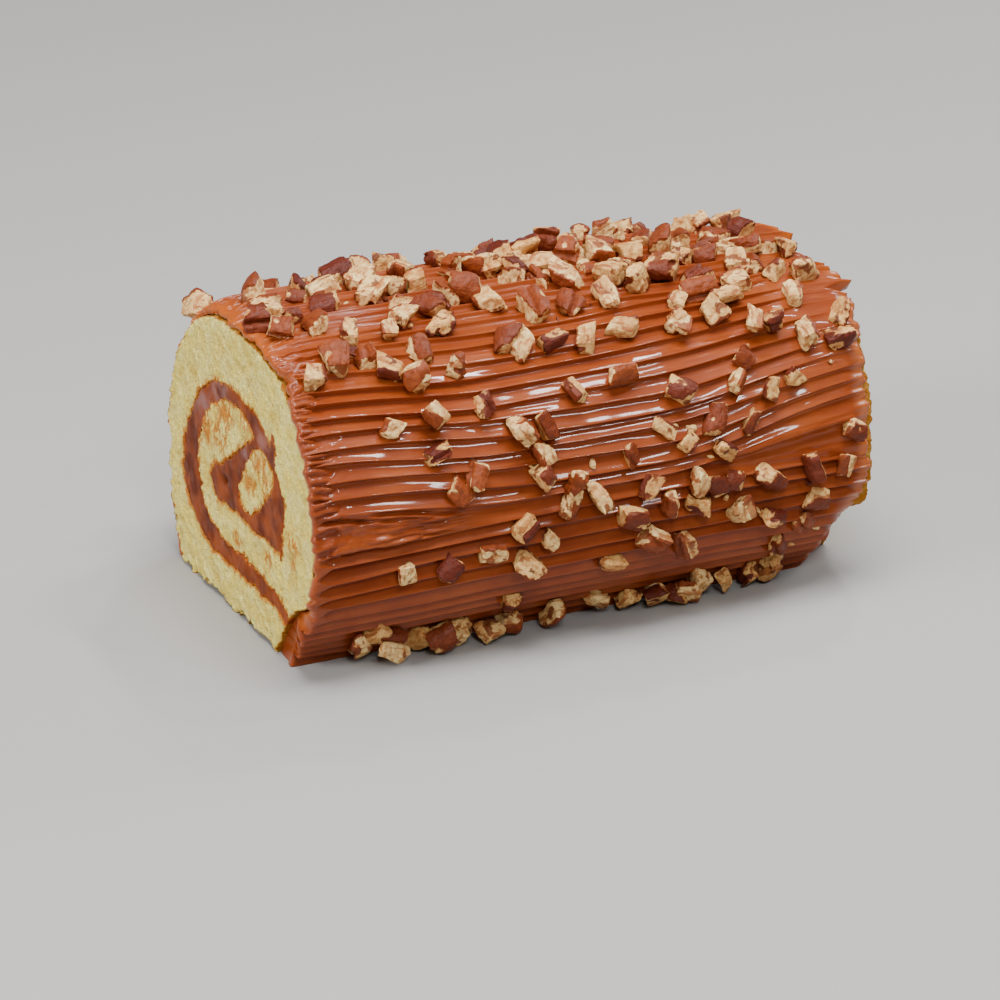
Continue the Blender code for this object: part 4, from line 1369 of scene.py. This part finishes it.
def pecan_finish(speckle):
    """Chopped pecan: pale fibrous flesh on cut faces, red-brown skin outside and in the furrow."""
    made, graph, shader = new_material("chopped_pecan")
    tone = graph.attribute("tone")
    flesh = graph.mix(tone, PECAN_FLESH_WARM, PECAN_FLESH_PALE)
    cloud = graph.group(speckle, Spots_per_metre=170.0, Detail=3.0, Low=0.45, High=0.64)
    flesh = graph.tint(flesh, PECAN_FLESH_BROWN, cloud, 0.50)
    mottle = graph.group(speckle, Spots_per_metre=520.0, Detail=4.0, Low=0.42, High=0.62)
    flesh = graph.tint(flesh, PECAN_FLESH_BROWN, mottle, 0.25)
    place = graph.add("ShaderNodeAttribute", {"attribute_name": "fibre_place"}).outputs["Vector"]
    fibres = graph.fibres(place, (170.0, 900.0, 900.0), 0.48, 0.66)
    flesh = graph.tint(flesh, PECAN_FLESH_BROWN, fibres, 0.35)
    veins = graph.fibres(place, (110.0, 480.0, 480.0), 0.56, 0.62)
    flesh = graph.tint(flesh, PECAN_SKIN_LIGHT, veins, 0.80)
    skin = graph.mix(tone, PECAN_SKIN_DARK, PECAN_SKIN_LIGHT)
    grain = graph.group(speckle, Spots_per_metre=900.0, Detail=3.0, Low=0.35, High=0.7)
    skin = graph.tint(skin, PECAN_SKIN_BLACK, grain, 0.35)
    ragged = graph.group(speckle, Spots_per_metre=700.0, Detail=3.0, Low=0.30, High=0.70)
    edge = graph.calculate("ADD", graph.attribute("skin"), graph.calculate("MULTIPLY", ragged, 0.6))
    flesh = graph.tint(flesh, PECAN_FLESH_BROWN, graph.ramp(edge, 0.30, 0.52), 0.75)
    fleck = graph.group(speckle, Spots_per_metre=250.0, Detail=3.0, Low=0.585, High=0.635)
    fleck = graph.calculate("MULTIPLY", fleck, 0.9)
    covered = graph.calculate("MAXIMUM", graph.ramp(edge, 0.56, 0.74), fleck)
    graph.feed(shader, "Base Color", graph.mix(covered, flesh, skin))
    smoother = graph.calculate("MULTIPLY", covered, 0.17)
    graph.feed(shader, "Roughness", graph.calculate("SUBTRACT", 0.62, smoother))
    height = graph.calculate("SUBTRACT", grain, graph.calculate("ADD", mottle, fibres))
    graph.feed(shader, "Normal", bumped(graph, height, 0.42, 0.00025))
    values = {
        "Specular IOR Level": 0.20,
        "Subsurface Weight": 0.10,
        "Subsurface Radius": (1.0, 0.6, 0.3),
        "Subsurface Scale": 0.0015,
    }
    set_values(shader, values)
    return made


def sponge_finish(speckle, streak):
    """Vanilla sponge: pale yellow crumb with fine pores darkened by painted shade, caramel stains, and a
    thin baked skin outside.
    """
    made, graph, shader = new_material("sponge_crumb")
    cloud = graph.group(speckle, Spots_per_metre=190.0, Detail=5.0, Low=0.38, High=0.62)
    base = graph.mix(cloud, SPONGE_PALE, SPONGE_YELLOW)
    warm = graph.group(speckle, Spots_per_metre=430.0, Detail=3.0, Low=0.60, High=0.72)
    base = graph.tint(base, SPONGE_ORANGE, warm, 0.40)
    blots = graph.group(streak, Along=300.0, Across=800.0, Up=260.0, Low=0.40, High=0.56)
    soaked = graph.attribute("stain")
    stained = graph.calculate("MULTIPLY", graph.ramp(soaked, 0.04, 0.55), blots)
    stained = graph.calculate("MAXIMUM", stained, graph.ramp(soaked, 0.50, 1.00))
    base = graph.tint(base, SPONGE_STAINED, stained, 0.92)
    base = graph.mix(graph.ramp(graph.attribute("skin"), 0.40, 0.90), base, SPONGE_SKIN)
    # Painted shade in the pores and where the cut face lies deeper.
    shaded_pores = graph.group(speckle, Spots_per_metre=1500.0, Detail=2.0, Low=0.50, High=0.66)
    pore_shade = graph.calculate("MAXIMUM", graph.calculate("MULTIPLY", shaded_pores, 0.5), graph.attribute("shaded_pores"))
    graph.feed(shader, "Base Color", graph.tint(base, SPONGE_PORE_SHADE, pore_shade, 0.46))
    grain = graph.group(speckle, Spots_per_metre=2200.0, Detail=2.0, Low=0.30, High=0.70)
    height = graph.calculate("SUBTRACT", grain, shaded_pores)
    graph.feed(shader, "Normal", bumped(graph, height, 0.85, 0.00038))
    values = {
        "Roughness": 0.95,
        "Specular IOR Level": 0.12,
        "Subsurface Weight": 0.10,
        "Subsurface Radius": (1.0, 0.7, 0.35),
        "Subsurface Scale": 0.002,
    }
    set_values(shader, values)
    return made


def spread_finish(speckle):
    """Soft caramel spread in the cut: dark brown, smeared, with painted violet sheen in places and painted
    shade in its hollow.
    """
    made, graph, shader = new_material("caramel_spread")
    cloud = graph.group(speckle, Spots_per_metre=110.0, Detail=4.0, Low=0.35, High=0.65)
    base = graph.mix(cloud, SPREAD_DEEP, SPREAD_MIDDLE)
    patch = graph.group(speckle, Spots_per_metre=200.0, Detail=3.0, Low=0.30, High=0.60)
    # Painted sheen: a violet reflection in spots on the spread.
    painted_sheen_share = graph.calculate("MULTIPLY", graph.attribute("painted_sheen"), patch)
    base = graph.tint(base, SPREAD_PAINTED_SHEEN, painted_sheen_share, 0.8)
    # Painted shade in the hollow in the spread.
    base = graph.tint(base, SPREAD_HOLLOW_SHADE, graph.attribute("hollow"), 0.85)
    bits = graph.group(speckle, Spots_per_metre=900.0, Detail=3.0, Low=0.44, High=0.58)
    bits = graph.calculate("MULTIPLY", bits, graph.ramp(graph.attribute("crumbs"), 0.15, 0.80))
    graph.feed(shader, "Base Color", graph.tint(base, SPONGE_STAINED, bits, 0.75))
    dull = graph.group(speckle, Spots_per_metre=300.0, Detail=3.0, Low=0.3, High=0.7)
    graph.feed(shader, "Roughness", graph.calculate("ADD", graph.calculate("MULTIPLY", dull, 0.20), 0.45))
    set_values(shader, {"Specular IOR Level": 0.10})
    fine = graph.group(speckle, Spots_per_metre=500.0, Detail=3.0, Low=0.25, High=0.75)
    graph.feed(shader, "Normal", bumped(graph, fine, 0.25, 0.00020))
    return made


def floor_finish():
    """A plain pale matte floor."""
    made, _, shader = new_material("floor")
    set_values(shader, {"Base Color": (*FLOOR_GREY, 1.0), "Roughness": 0.8})
    return made


def dress(obj, finish):
    """Gives a piece its one material."""
    obj.data.materials.clear()
    obj.data.materials.append(finish)


def stage_and_light():
    """The floor, the lamps and the room's even light."""
    floor_mesh = bpy.data.meshes.new("floor")
    signs = ((-1, -1), (1, -1), (1, 1), (-1, 1))
    floor_mesh.from_pydata([(x * FLOOR_HALF, y * FLOOR_HALF, 0.0) for x, y in signs], [], [(0, 1, 2, 3)])
    floor = bpy.data.objects.new("floor", floor_mesh)
    bpy.context.scene.collection.objects.link(floor)
    dress(floor, floor_finish())
    world = bpy.data.worlds.new("world")
    world.use_nodes = True
    set_values(world.node_tree.nodes["Background"], {"Color": (1.0, 1.0, 1.0, 1.0), "Strength": ROOM_LIGHT})
    bpy.context.scene.world = world
    for lamp in LAMPS:
        area_light(*lamp)


def main():
    """Builds the whole picture and gives each piece its material."""
    main_camera()
    stage_and_light()
    speckle = speckle_group()
    streak = streak_group()
    dress(build_coat(), caramel_finish(speckle, streak))
    nut = pecan_finish(speckle)
    for pecans in build_pecans():
        dress(pecans, nut)
    cake = build_cake()
    crumb = sponge_finish(speckle, streak)
    dress(cake["sheet"], crumb)
    dress(cake["core"], crumb)
    dress(cake["spread"], spread_finish(speckle))


main()
